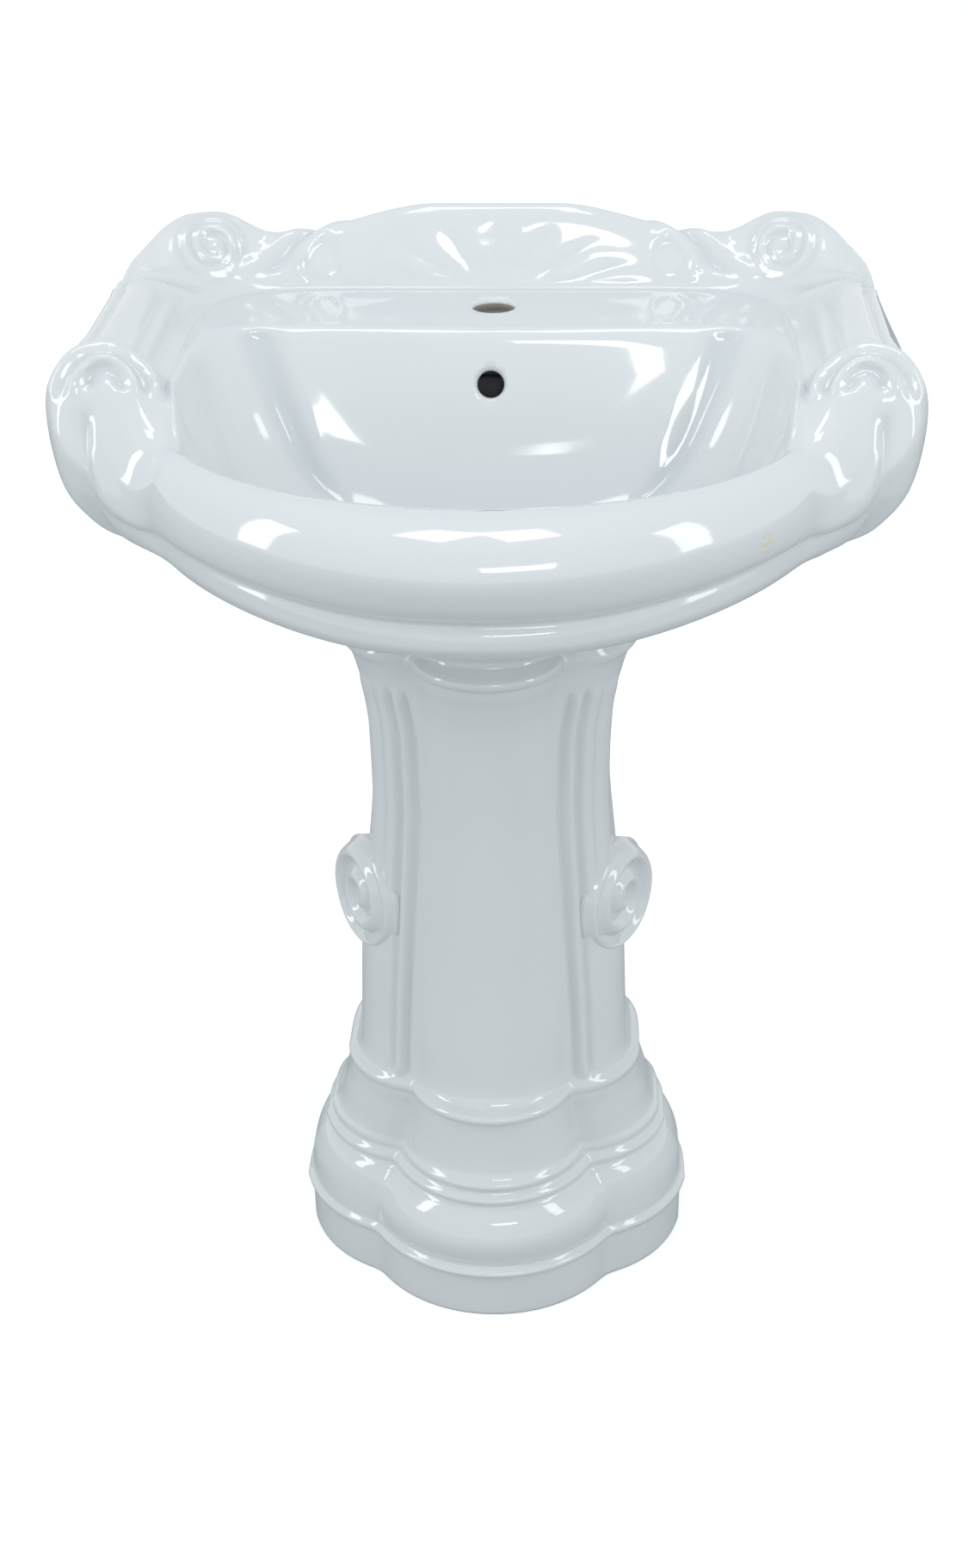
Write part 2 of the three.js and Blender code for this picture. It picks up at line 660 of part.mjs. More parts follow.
function trapHead() {
  const throat = dipRadius + pipeClear;
  let head = solid(turned([
    [throat, headTop - trapWall], [throat, inletEnd], [inletSpigot, inletEnd],
    [inletSpigot, headTop], [trapRadius - 3, headTop],
    [trapRadius, headTop - 3], [trapRadius, headLow], [threadRadius, headLow],
    [threadRadius, headLow - 14], [threadRadius - trapWall, headLow - 14],
    [threadRadius - trapWall, headTop - trapWall], [throat, headTop - trapWall],
  ].reverse()));
  const port = rod(outletSpigot, 0, outletEnd).rotateX(-Math.PI / 2).translate(0, 0, -trapDrop);
  const portBore = rod(pipeRadius + pipeClear, -1, outletEnd + 1).rotateX(-Math.PI / 2);
  portBore.translate(0, 0, -trapDrop);
  const hollow = rod(threadRadius - trapWall, headLow - 15, headTop - trapWall);
  head = head.add(solid(port)).subtract(solid(hollow)).subtract(solid(portBore));
  return geometryOf(head);
}

function trapCup() {
  const high = headLow - 2 * gap - ringHeight;
  const low = high - cupHeight;
  const inner = threadRadius + gap;
  return turned([
    [0, low], [cupRadius - 6, low], [cupRadius, low + 6], [cupRadius, high], [inner, high],
    [inner, low + 6], [inner - 4, low + 3], [0, low + 3], [0, low],
  ]);
}

function escutcheon() {
  const clear = pipeRadius + gap;
  return turned([
    [clear, 0], [escutcheonRadius, 0], [escutcheonRadius, 1.2], [escutcheonRadius - 8, 5],
    [clear + 4, escutcheonDepth], [clear, escutcheonDepth], [clear, 0],
  ]);
}

// ---- assembly --------------------------------------------------------------------------------
const sink = new THREE.Group();
const drain = new THREE.Group();
drain.position.set(0, drainY, seatZ);
const outlet = new THREE.Group();
outlet.position.set(0, 0, -trapDrop);
outlet.rotation.x = -Math.PI / 2;
drain.add(outlet);
sink.add(drain);

function add(group, name, geometry, material) {
  const mesh = new THREE.Mesh(geometry, material);
  mesh.name = name;
  group.add(mesh);
}

add(sink, 'basin', basin(), china);
add(sink, 'pedestal', pedestal(), china);

add(drain, 'waste_body', wasteBody(), chrome);
add(drain, 'waste_top_gasket', tube(flangeRadius, threadClear, gap, gap + topGasket), rubber);
const lowerGasketLow = lowerGasketTop - lowerGasket;
const lowerGasketShape = tube(tubeRadius + lowerGasketLip, threadClear, lowerGasketLow, lowerGasketTop);
add(drain, 'waste_lower_gasket', lowerGasketShape, rubber);
const backnutRadius = (tubeRadius + backnutWall) / Math.cos(Math.PI / 6);
const backnut = prism(backnutRadius, 6, backnutTop - backnutHeight, backnutTop, threadClear);
add(drain, 'waste_backnut', backnut, brass);
add(drain, 'plug_cap', plugCap(), chrome);
const seal = tube(boreRadius + 4, capHub + gap, capLow - gap - sealThickness, capLow - gap);
add(drain, 'plug_seal', seal, rubber);
add(drain, 'plug_stem', plugStem(), brass);
add(drain, 'plug_cartridge', plugCartridge(), nylon);
const cartridgeNut = prism(8.5, 6, cartridgeNutLow, cartridgeNutLow + 3.5, spigotRadius + gap, 16);
add(drain, 'cartridge_nut', cartridgeNut, brass);
const spring = coil(cavityLow + gap, collarTop - collarHeight - gap, 4.6, 0.7, 6);
add(drain, 'cartridge_spring', spring, steel);

const inletNut = slipNut(0, tubeRadius, dipRadius).rotateX(Math.PI);
add(drain, 'inlet_nut', inletNut.translate(0, 0, -wasteLength), chrome);
const inletWasher = slipWasher(0, tubeRadius, dipRadius).rotateX(Math.PI);
add(drain, 'inlet_washer', inletWasher.translate(0, 0, -wasteLength), rubber);
add(drain, 'dip_tube', tube(dipRadius, dipRadius - pipeWall, dipLow, -wasteLength + 6), chrome);
add(drain, 'trap_top_nut', slipNut(inletEnd, inletSpigot, dipRadius), chrome);
add(drain, 'trap_top_washer', slipWasher(inletEnd, inletSpigot, dipRadius), rubber);
add(drain, 'trap_head', trapHead(), chrome);
const cupRing = tube(trapRadius - 0.4, threadRadius + gap, headLow - gap - ringHeight, headLow - gap);
add(drain, 'cup_ring', cupRing, rubber);
add(drain, 'trap_cup', trapCup(), chrome);
add(outlet, 'outlet_nut', slipNut(outletEnd, outletSpigot, pipeRadius), chrome);
add(outlet, 'outlet_washer', slipWasher(outletEnd, outletSpigot, pipeRadius), rubber);
const outletPipe = tube(pipeRadius, pipeRadius - pipeWall, outletEnd - 8, wall - drainY);
add(outlet, 'outlet_pipe', outletPipe, chrome);
add(outlet, 'wall_escutcheon', escutcheon().rotateX(Math.PI).translate(0, 0, wall - drainY), chrome);

export default sink;
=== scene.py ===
# A white vitreous china pedestal sink: a basin with a rolled front rim, scrolled arms and a shaped
# backsplash on a lobed pedestal, with a pop-up waste and a chromed bottle trap inside it.
import math
import bmesh
import bpy
import numpy as np
from mathutils import Matrix, Vector


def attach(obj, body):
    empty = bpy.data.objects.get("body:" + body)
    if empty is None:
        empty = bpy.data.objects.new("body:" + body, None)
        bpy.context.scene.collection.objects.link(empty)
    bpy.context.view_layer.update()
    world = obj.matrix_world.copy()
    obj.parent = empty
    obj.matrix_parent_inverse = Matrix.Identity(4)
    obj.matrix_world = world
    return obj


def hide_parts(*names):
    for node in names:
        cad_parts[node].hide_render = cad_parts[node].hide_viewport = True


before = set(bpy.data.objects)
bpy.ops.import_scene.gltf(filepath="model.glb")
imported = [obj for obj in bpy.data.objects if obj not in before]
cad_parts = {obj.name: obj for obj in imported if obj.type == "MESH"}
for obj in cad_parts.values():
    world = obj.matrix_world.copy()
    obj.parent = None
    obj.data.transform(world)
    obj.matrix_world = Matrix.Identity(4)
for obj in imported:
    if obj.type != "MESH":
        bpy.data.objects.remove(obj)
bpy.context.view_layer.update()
scene = bpy.context.scene

# Camera: a little over eye height, in front of the sink and slightly to its right, looking down
# at the bowl so that the whole pedestal is in view.
camera_data = bpy.data.cameras.new("camera")
camera_data.lens = 54.92
camera_data.sensor_width = 36
camera = bpy.data.objects.new("camera", camera_data)
scene.collection.objects.link(camera)
turn = Matrix.Rotation(math.radians(2.8), 4, "Z")
tip = Matrix.Rotation(math.radians(61.5), 4, "X")
lean = Matrix.Rotation(math.radians(-0.8), 4, "Z")
camera.matrix_world = Matrix.Translation((0.0817, -1.7882, 1.444)) @ turn @ tip @ lean
scene.camera = camera

# Studio: a plain white floor that runs off into a white surround, with a large soft panel on each
# side, one overhead and a narrow one in front, which draw the long highlights on the glaze.
scene.view_settings.view_transform = "Standard"
world = bpy.data.worlds.new("surround")
world.use_nodes = True
sky = world.node_tree.nodes["Background"]
direction = world.node_tree.nodes.new("ShaderNodeTexCoord")
height_split = world.node_tree.nodes.new("ShaderNodeSeparateXYZ")
dome = world.node_tree.nodes.new("ShaderNodeValToRGB")
dome.color_ramp.elements[0].position = 0.0
dome.color_ramp.elements[0].color = (1, 1, 0.99, 1)
dome.color_ramp.elements[1].position = 0.8
dome.color_ramp.elements[1].color = (0.6, 0.65, 0.7, 1)
world.node_tree.links.new(direction.outputs["Generated"], height_split.inputs["Vector"])
world.node_tree.links.new(height_split.outputs["Z"], dome.inputs["Fac"])
world.node_tree.links.new(dome.outputs["Color"], sky.inputs["Color"])
sky.inputs["Strength"].default_value = 0.98
scene.world = world

bpy.ops.mesh.primitive_plane_add(size=60, location=(0, 0, 0))
floor = bpy.context.object
floor.name = "floor"
# seen directly the floor is white; what it throws back on to the sink is a cooler grey
floor_white = bpy.data.materials.new("floor white")
floor_white.use_nodes = True
floor_nodes = floor_white.node_tree.nodes
floor_links = floor_white.node_tree.links
floor_shader = floor_nodes["Principled BSDF"]
floor_shader.inputs["Roughness"].default_value = 0.9
floor_shader.inputs["Emission Color"].default_value = (1, 1, 1, 1)
ray = floor_nodes.new("ShaderNodeLightPath")
floor_tint = floor_nodes.new("ShaderNodeMix")
floor_tint.data_type = "RGBA"
floor_tint.inputs["A"].default_value = (0.46, 0.49, 0.5, 1)
floor_tint.inputs["B"].default_value = (0.9, 0.9, 0.9, 1)
floor_glow = floor_nodes.new("ShaderNodeMath")
floor_glow.operation = "MULTIPLY"
floor_glow.inputs[1].default_value = 0.38
floor_links.new(ray.outputs["Is Camera Ray"], floor_tint.inputs["Factor"])
floor_links.new(floor_tint.outputs["Result"], floor_shader.inputs["Base Color"])
floor_links.new(ray.outputs["Is Camera Ray"], floor_glow.inputs[0])
floor_links.new(floor_glow.outputs["Value"], floor_shader.inputs["Emission Strength"])
floor.data.materials.append(floor_white)


def soft_panel(name, place, aim, wide, high, watts):
    data = bpy.data.lights.new(name, "AREA")
    data.shape = "RECTANGLE"
    data.size = wide
    data.size_y = high
    data.energy = watts
    panel = bpy.data.objects.new(name, data)
    scene.collection.objects.link(panel)
    panel.location = place
    direction = Vector(aim) - Vector(place)
    panel.rotation_euler = direction.to_track_quat("-Z", "Y").to_euler()


soft_panel("pane over left", (-0.35, -0.5, 2.9), (0, 0, 0.7), 0.45, 0.7, 4)
soft_panel("pane over right", (0.25, -0.5, 2.9), (0, 0, 0.7), 0.45, 0.7, 4)
soft_panel("pane right", (2.2, -1.1, 1.75), (0, 0, 0.6), 0.45, 1.6, 9)
soft_panel("pane left", (-2.3, -0.9, 1.7), (0, 0, 0.6), 0.45, 1.6, 11)
soft_panel("pane front", (0.6, -2.8, 2.1), (0, 0, 0.4), 1.2, 0.35, 9)


# Basin: one slip-cast piece of vitreous china. Its face is a skin through edge loops, from the
# waste seat up the bowl, over the ledge or the roll, and down the outside; the hidden side of
# the casting follows it one wall thickness behind. Sizes are in millimetres.
MM = 0.001
width = 664
depth = 516
ledge = 839
bowl_depth = 167
wall_thickness = 12
half = width / 2
wall_y = depth / 2
front_y = -depth / 2
drain_y = -25
seat_z = ledge - bowl_depth
bowl_half = half - 94
bowl_front = front_y + 65
bowl_back = wall_y - 160
widest_y = -30


def smooth(value, low, high):
    share = np.clip((np.asarray(value, float) - low) / (high - low), 0, 1)
    return share * share * (3 - 2 * share)


def mix(a, b, share):
    return a + (b - a) * share


def bump(value, centre, reach):
    return np.exp(-(((np.asarray(value, float) - centre) / reach) ** 2))


# Half stations round a loop, in degrees from the front over the side to the wall, closer
# together at the front scroll and at the rear corner, where the carving is.
half_stations = np.concatenate([
    np.arange(0, 60, 1.25), np.arange(60, 74, 0.7), np.arange(74, 98, 0.4),
    np.arange(98, 132, 0.8), np.arange(132, 156, 0.4), np.arange(156, 180.01, 0.75),
])
stations = np.concatenate([half_stations, 360 - half_stations[-2:0:-1]])

# Bowl loops: shares of the bowl's half width, front and back lengths; corner power; bow of the
# back edge; heights at the front, side and back as shares of the depth.
bowl_loops = [
    [0.39, 0.446, 0.366, 2.4, 0, [0.94, 0.94, 0.89]],
    [0.63, 0.696, 0.56, 2.8, 4, [0.83, 0.82, 0.737]],
    [0.824, 0.839, 0.756, 3.2, 10, [0.64, 0.605, 0.545]],
    [0.933, 0.905, 0.886, 3.6, 16, [0.443, 0.323, 0.311]],
    [0.979, 0.946, 0.959, 4.2, 22, [0.305, 0.126, 0.144]],
    [1, 1, 1, 4.6, 26, [0.24, 0.03, 0.036]],
]
# Rim loops: insets from the side, front and wall; inset and point of the front curve; corner
# power; heights over the ledge at the front, side and wall; rise of the roll towards the
# scrolls; swelling at the scrolls; share of the backsplash's wave.
rim_loops = [
    [90, 57, 155, 90, 0, 5, [-35, 0, 0], 0, 0, 0],
    [86, 49, 44, 86, 0.03, 7, [-33, 0, 0], 0, 0, 0],
    [78, 42, 39, 82, 0.05, 8, [-32, 4, 11], 0, 0, 0],
    [62, 30, 32, 75, 0.07, 9, [-34, 17, 36], 0, 0, 0.55],
    [46, 18, 24, 68, 0.09, 9, [-41, 26, 59], 0, 0, 0.95],
    [32, 7, 16, 62, 0.11, 9, [-53, 27, 66], 0, 0, 1],
    [19, 0, 7, 58, 0.12, 9, [-71, 21, 60], 2, 6, 0.95],
    [11, 4, 0, 58, 0.12, 9, [-91, 3, 31], 6, 8, 0.2],
    [7, 12, 0, 62, 0.12, 9, [-103, -24, -9], 10, 7, 0],
    [14, 19, 0, 67, 0.12, 9, [-109, -67, -49], 13, 7, 0],
    [32, 15, 0, 67, 0.13, 9, [-117, -97, -79], 13, 4, 0],
    [50, 14, 0, 69, 0.13, 9, [-127, -117, -104], 13, 0, 0],
    [64, 19, 0, 75, 0.13, 9, [-135, -133, -127], 12, 0, 0],
]


def backsplash_wave(x):
    dip = -25 * smooth(x, half - 282, half - 147)
    scroll = 19 * smooth(x, half - 140, half - 92)
    shoulder = -36 * smooth(x, half - 74, half + 4)
    return dip + scroll + shoulder


def loop_points(front_half, side_half, widest, front, back, power, bow, point, heights, lift, bulge, wave):
    angle = np.where(stations > 180, 360 - stations, stations)
    c = np.cos(np.radians(angle))
    s = np.sin(np.radians(angle))
    behind = angle > 90
    across = mix(front_half, side_half, smooth(angle, 68, 88))
    swell = bulge * smooth(angle, 70, 82) * (1 - smooth(angle, 88, 100))
    reach = (np.abs(c) ** power + np.abs(s) ** power) ** (-1 / power)
    x_back = across * reach * s + swell
    x = np.where(behind, x_back, (across + swell) * s * (1 - point * c * c))
    y_back = widest - (back - widest) * c * reach
    y_back = y_back + bow * (x_back / across) ** 2 * smooth(angle, 100, 130)
    y = np.where(behind, y_back, widest - (widest - front) * c)
    z_front, z_side, z_back = heights
    roll = z_front + lift * smooth(angle, 15, 70)
    z = mix(roll, z_side, smooth(angle, 72, 90))
    climb = mix(z_side, z_back, smooth(y, wall_y - 98, wall_y - 38))
    climb = climb + wave * backsplash_wave(x) * smooth(y, wall_y - 98, wall_y - 58)
    z = np.where(behind, climb, z)
    return np.stack([np.where(stations > 180, -x, x), y, z], -1)


def basin_cage():
    loops = []
    for side, ahead, behind, power, bow, dips in bowl_loops:
        heights = [ledge - bowl_depth * dip for dip in dips]
        front = drain_y - (drain_y - bowl_front) * ahead
        back = drain_y + (bowl_back - drain_y) * behind
        loops.append(loop_points(bowl_half * side, bowl_half * side, widest_y - 8 * side, front, back,
                                 power, bow, 0, heights, 0, 0, 0))
    for i, row in enumerate(rim_loops):
        side, ahead, behind, curve, point, power, rise, lift, bulge, wave = row
        heights = [ledge + r for r in rise]
        loops.append(loop_points(half - curve, half - side, widest_y, front_y + ahead, wall_y - behind,
                                 power, 26 if i == 0 else 0, point, heights, lift, bulge, wave))
    return loops


# A smooth line through the rows of a stack of loops (centripetal, so that it never overshoots),
# with a chosen number of steps between each pair.
def through(rows, steps):
    rows = np.asarray(rows, float)
    padded = np.concatenate([[2 * rows[0] - rows[1]], rows, [2 * rows[-1] - rows[-2]]])
    gaps = np.linalg.norm(np.diff(padded, axis=0), axis=-1) ** 0.5 + 1e-6
    made = []
    for i in range(len(rows) - 1):
        p0, p1, p2, p3 = padded[i:i + 4]
        g0, g1, g2 = (g[..., None] for g in gaps[i:i + 3])
        m1 = ((p1 - p0) / g0 - (p2 - p0) / (g0 + g1) + (p2 - p1) / g1) * g1
        m2 = ((p2 - p1) / g1 - (p3 - p1) / (g1 + g2) + (p3 - p2) / g2) * g1
        for t in np.arange(steps[i]) / steps[i]:
            a = 2 * t ** 3 - 3 * t ** 2 + 1
            made.append(a * p1 + (t ** 3 - 2 * t ** 2 + t) * m1 + (1 - a) * p2 + (t ** 3 - t ** 2) * m2)
    made.append(rows[-1])
    return np.array(made)


def circle_loop(radius, z):
    turns = np.radians(stations)
    return np.stack([radius * np.sin(turns), drain_y - radius * np.cos(turns), np.full(len(turns), z)], -1)


def normals_of(grid):
    along = np.roll(grid, -1, axis=1) - np.roll(grid, 1, axis=1)
    across = np.gradient(grid, axis=0)
    normal = np.cross(across, along)
    return normal / np.maximum(np.linalg.norm(normal, axis=-1, keepdims=True), 1e-9)


cage = basin_cage()
# two more loops on the ledge keep it flat between its rounded edges
cage[7:7] = [mix(cage[6], cage[7], 0.09), mix(cage[6], cage[7], 0.93)]
steps = [5, 5, 5, 4, 3, 3] + [3, 6, 3] + [5, 9, 9, 8, 8, 8, 7, 6, 6, 5, 4, 4]
face = through(cage, steps)
# the cage loop that each row of the face belongs to, counted as in rim_loops from the bowl edge
loop_numbers = [-6, -5, -4, -3, -2, -1, 0, 0.09, 0.93] + list(range(1, 13))
row_loop = np.concatenate([np.linspace(a, b, n, endpoint=False)
                           for a, b, n in zip(loop_numbers[:-1], loop_numbers[1:], steps)] + [[12]])


# Carving on the face, as a distance along its normal: the rings of the front scrolls, the seam
# where the roll meets the apron, the ridges along the arms, the rear scrolls and the shell.
def rings(radius, ridges):
    return sum(height * bump(radius, at, reach) for at, height, reach in ridges)


def carving(points):
    x, y, z = np.abs(points[..., 0]), points[..., 1], points[..., 2]
    angle = np.where(stations > 180, 360 - stations, stations)[None]
    loop = row_loop[:, None]

    # front scroll: rings round the rear end of the roll, on a face that looks up and forward
    du, dv, dn = x - 289, 0.84 * (y + 52) + 0.54 * (z - 838), -0.54 * (y + 52) + 0.84 * (z - 838)
    radius = np.hypot(du, dv)
    open_side = smooth(dv / np.maximum(radius, 1), -0.2, 0.3) * bump(dn, 0, 34)
    front = rings(radius, [[45, -4, 3.4], [38, 5, 5], [30, -3.6, 4], [23, 3.6, 4], [13, -4.5, 6]])
    relief = front * open_side

    # seam between the rear end of the roll and the apron, which swells beside it
    seam_loops = [5, 6.4, 7.2, 8.5, 9.3, 10.5, 12]
    seam = np.interp(row_loop, seam_loops, [82.5, 80.8, 79.1, 78.9, 80, 82, 84])[:, None]
    along_seam = smooth(loop, 5.2, 6.2) * (1 - smooth(loop, 10.2, 11.4))
    relief += along_seam * (4 * bump(angle, seam + 3.4, 3) - 4.6 * bump(angle, seam, 1.2))

    # the apron stands out below the scroll and back along the arm
    fullness = smooth(angle, 62, 84) * (1 - smooth(angle, 100, 130))
    relief += 7 * smooth(loop, 6, 7.6) * (1 - smooth(loop, 10.5, 12.4)) * fullness

    # the bowl's rear corners are tight
    relief -= 6 * bump(angle, 138, 3.4) * smooth(loop, -5, -4) * (1 - smooth(loop, -1.2, -0.1))

    # arms: a narrow ridge along the inner edge, a broad band, and a groove before the outer edge
    arm = smooth(angle, 91.5, 95) * (1 - smooth(angle, 120, 126))
    across = rings(loop, [[2.25, -1.6, 0.24], [2.75, 2.6, 0.22], [3.2, -2.2, 0.26], [4.3, 1.2, 0.7]])
    across += rings(loop, [[5.3, -2.6, 0.24], [5.85, 1.6, 0.3]])
    relief += arm * across
    cove = y + 0.67 * (x - 272)
    top = smooth(loop, 1.9, 2.6) * (1 - smooth(loop, 5.6, 6.4)) * (angle > 95)
    relief += top * (2.4 * bump(cove, 177, 4.5) - 3.2 * bump(cove, 166, 4.5) + 2.2 * bump(cove, 155, 4))

    # rear scrolls: a spiral that looks forward and up, turned a little towards the bowl
    du, dv = 0.86 * (x - 241) - 0.5 * (y - 213), 0.36 * (x - 241) + 0.6 * (y - 213) + 0.71 * (z - 879)
    radius = np.hypot(du, dv)
    turn = np.arctan2(dv, du) / (2 * np.pi)
    spiral = 1.7 * np.cos(2 * np.pi * (radius / 12 - turn)) * smooth(radius, 1, 6)
    seen = (y > 180) * (x > 200) * (1 - smooth(loop, 4.9, 5.5))
    relief += (spiral * (1 - smooth(radius, 21, 26)) - 1.8 * bump(radius, 29, 4)) * seen

    # shell of soft flutes in the middle of the backsplash, with a small scroll on each side
    fan_x, fan_z = points[..., 0] / 2, z - 826
    fan = np.hypot(fan_x, fan_z)
    flutes = np.abs(np.sin(9 * np.arctan2(fan_x, fan_z)))
    back = smooth(loop, 1.4, 2) * (1 - smooth(loop, 4.4, 5)) * smooth(y, 180, 200)
    relief += back * 1.1 * (flutes - 0.5) * smooth(fan, 24, 40) * (1 - smooth(fan, 58, 70))
    du, dv = x - 147, z - 859
    radius = np.hypot(du, dv)
    relief += back * rings(radius, [[23, 1.5, 4], [14, -1.2, 4]]) * smooth(du, -19, -8)
    return relief


face_normal = normals_of(face)
face_carving = carving(face)
face = face + face_normal * face_carving[..., None]


def behind_face(i, distance):
    before = cage[max(i - 1, 0)]
    after = cage[min(i + 1, len(cage) - 1)]
    along = np.roll(cage[i], -1, axis=0) - np.roll(cage[i], 1, axis=0)
    normal = np.cross(after - before, along)
    normal /= np.linalg.norm(normal, axis=-1, keepdims=True)
    made = cage[i] - distance * normal
    roof = ledge - wall_thickness + 26 * (1 - smooth(cage[i][:, 1], wall_y - 98, wall_y - 58))
    made[:, 2] = np.minimum(made[:, 2], roof)
    root = wall_y - 44
    far = cage[i][:, 1] > root
    share = (cage[i][:, 1] - root) / (wall_y - root)
    made[:, 1] = np.where(far, mix(root, wall_y - wall_thickness, share), made[:, 1])
    return made


lip = cage[-1].copy()
inward = -lip * [1, 1, 0]
inward /= np.linalg.norm(inward, axis=-1, keepdims=True)
lip = lip + inward * wall_thickness * 0.6 - [0, 0, 2]
hidden = [behind_face(i, wall_thickness) for i in [20, 18, 16, 14, 13, 12, 11, 9, 6, 4, 3, 2, 1, 0]]
hidden = through(hidden, [2] * (len(hidden) - 1))

bore = 23
seat = [circle_loop(bore, seat_z - 32), circle_loop(bore, seat_z - 1), circle_loop(bore + 1, seat_z),
        circle_loop(33, seat_z), circle_loop(35, seat_z + 0.8), circle_loop(38, seat_z + 3.4)]
boss = [circle_loop(44, seat_z - 13), circle_loop(38.5, seat_z - 18), circle_loop(38, seat_z - 31),
        circle_loop(37, seat_z - 32)]


# A closed mesh through a ring of loops. Its crevice shade attribute is 1 in a deep groove, 0 elsewhere:
# the glaze uses it to paint shade into the grooves.
def ring_mesh(name, loops, material, carved=None, first_carved=0):
    grid = np.concatenate([np.asarray(part).reshape(-1, len(part[0]), 3) for part in loops])
    rows, count = grid.shape[:2]
    i, j = np.meshgrid(np.arange(rows), np.arange(count), indexing="ij")
    below = (i + 1) % rows
    beside = (j + 1) % count
    faces = np.stack([i * count + j, below * count + j, below * count + beside, i * count + beside], -1)
    mesh = bpy.data.meshes.new(name)
    mesh.from_pydata((grid.reshape(-1, 3) * MM).tolist(), [], faces.reshape(-1, 4).tolist())
    crevice_shade = np.zeros((rows, count))
    if carved is not None:
        crevice_shade[first_carved:first_carved + len(carved)] = np.clip(-carved / 4, 0, 1)
    mesh.attributes.new("crevice_shade", "FLOAT", "POINT").data.foreach_set("value", crevice_shade.ravel())
    bare = bmesh.new()
    bare.from_mesh(mesh)
    bmesh.ops.remove_doubles(bare, verts=bare.verts, dist=1e-6)
    bare.to_mesh(mesh)
    bare.free()
    mesh.materials.append(material)
    mesh.shade_smooth()
    piece = bpy.data.objects.new(name, mesh)
    scene.collection.objects.link(piece)
    return piece


# Every finish varies a little over the surface: this group gives its tone, gloss and fine height.
def variation_group():
    group = bpy.data.node_groups.new("surface variation", "ShaderNodeTree")
    for label, kind in [("Vector", "Vector"), ("Scale", "Float"), ("Light tone", "Color"),
                        ("Dark tone", "Color"), ("Smoothest", "Float"), ("Roughest", "Float")]:
        group.interface.new_socket(name=label, in_out="INPUT", socket_type="NodeSocket" + kind)
    for label, kind in [("Color", "Color"), ("Roughness", "Float"), ("Height", "Float")]:
        group.interface.new_socket(name=label, in_out="OUTPUT", socket_type="NodeSocket" + kind)
    add, link = group.nodes.new, group.links.new
    given, result = add("NodeGroupInput"), add("NodeGroupOutput")
    broad, fine = add("ShaderNodeTexNoise"), add("ShaderNodeTexNoise")
    tone, gloss = add("ShaderNodeMix"), add("ShaderNodeMix")
    ratio = add("ShaderNodeMath")
    ratio.operation = "MULTIPLY"
    ratio.inputs[1].default_value = 9
    tone.data_type = "RGBA"
    broad.inputs["Detail"].default_value = 4
    fine.inputs["Detail"].default_value = 6
    link(given.outputs["Scale"], ratio.inputs[0])
    link(given.outputs["Scale"], broad.inputs["Scale"])
    link(ratio.outputs["Value"], fine.inputs["Scale"])
    for noise in (broad, fine):
        link(given.outputs["Vector"], noise.inputs["Vector"])
    link(broad.outputs["Fac"], tone.inputs["Factor"])
    link(given.outputs["Light tone"], tone.inputs["A"])
    link(given.outputs["Dark tone"], tone.inputs["B"])
    link(fine.outputs["Fac"], gloss.inputs["Factor"])
    link(given.outputs["Smoothest"], gloss.inputs["A"])
    link(given.outputs["Roughest"], gloss.inputs["B"])
    link(tone.outputs["Result"], result.inputs["Color"])
    link(gloss.outputs["Result"], result.inputs["Roughness"])
    link(fine.outputs["Fac"], result.inputs["Height"])
    return group


variation = variation_group()


def finish(name, light, dark, scale, gloss, relief, metallic):
    material = bpy.data.materials.new(name)
    material.use_nodes = True
    add, link = material.node_tree.nodes.new, material.node_tree.links.new
    shader = material.node_tree.nodes["Principled BSDF"]
    place, surface, bumps = add("ShaderNodeTexCoord"), add("ShaderNodeGroup"), add("ShaderNodeBump")
    surface.name = "surface"
    surface.node_tree = variation
    surface.inputs["Scale"].default_value = scale
    surface.inputs["Light tone"].default_value = (*light, 1)
    surface.inputs["Dark tone"].default_value = (*dark, 1)
    surface.inputs["Smoothest"].default_value, surface.inputs["Roughest"].default_value = gloss
    bumps.inputs["Distance"].default_value = relief
    shader.inputs["Metallic"].default_value = metallic
    link(place.outputs["Object"], surface.inputs["Vector"])
    link(surface.outputs["Color"], shader.inputs["Base Color"])
    link(surface.outputs["Roughness"], shader.inputs["Roughness"])
    link(surface.outputs["Height"], bumps.inputs["Height"])
    link(bumps.outputs["Normal"], shader.inputs["Normal"])
    return material


china = finish("china glaze", (0.76, 0.785, 0.79), (0.7, 0.735, 0.745), 5, (0.05, 0.12), 0.00006, 0)
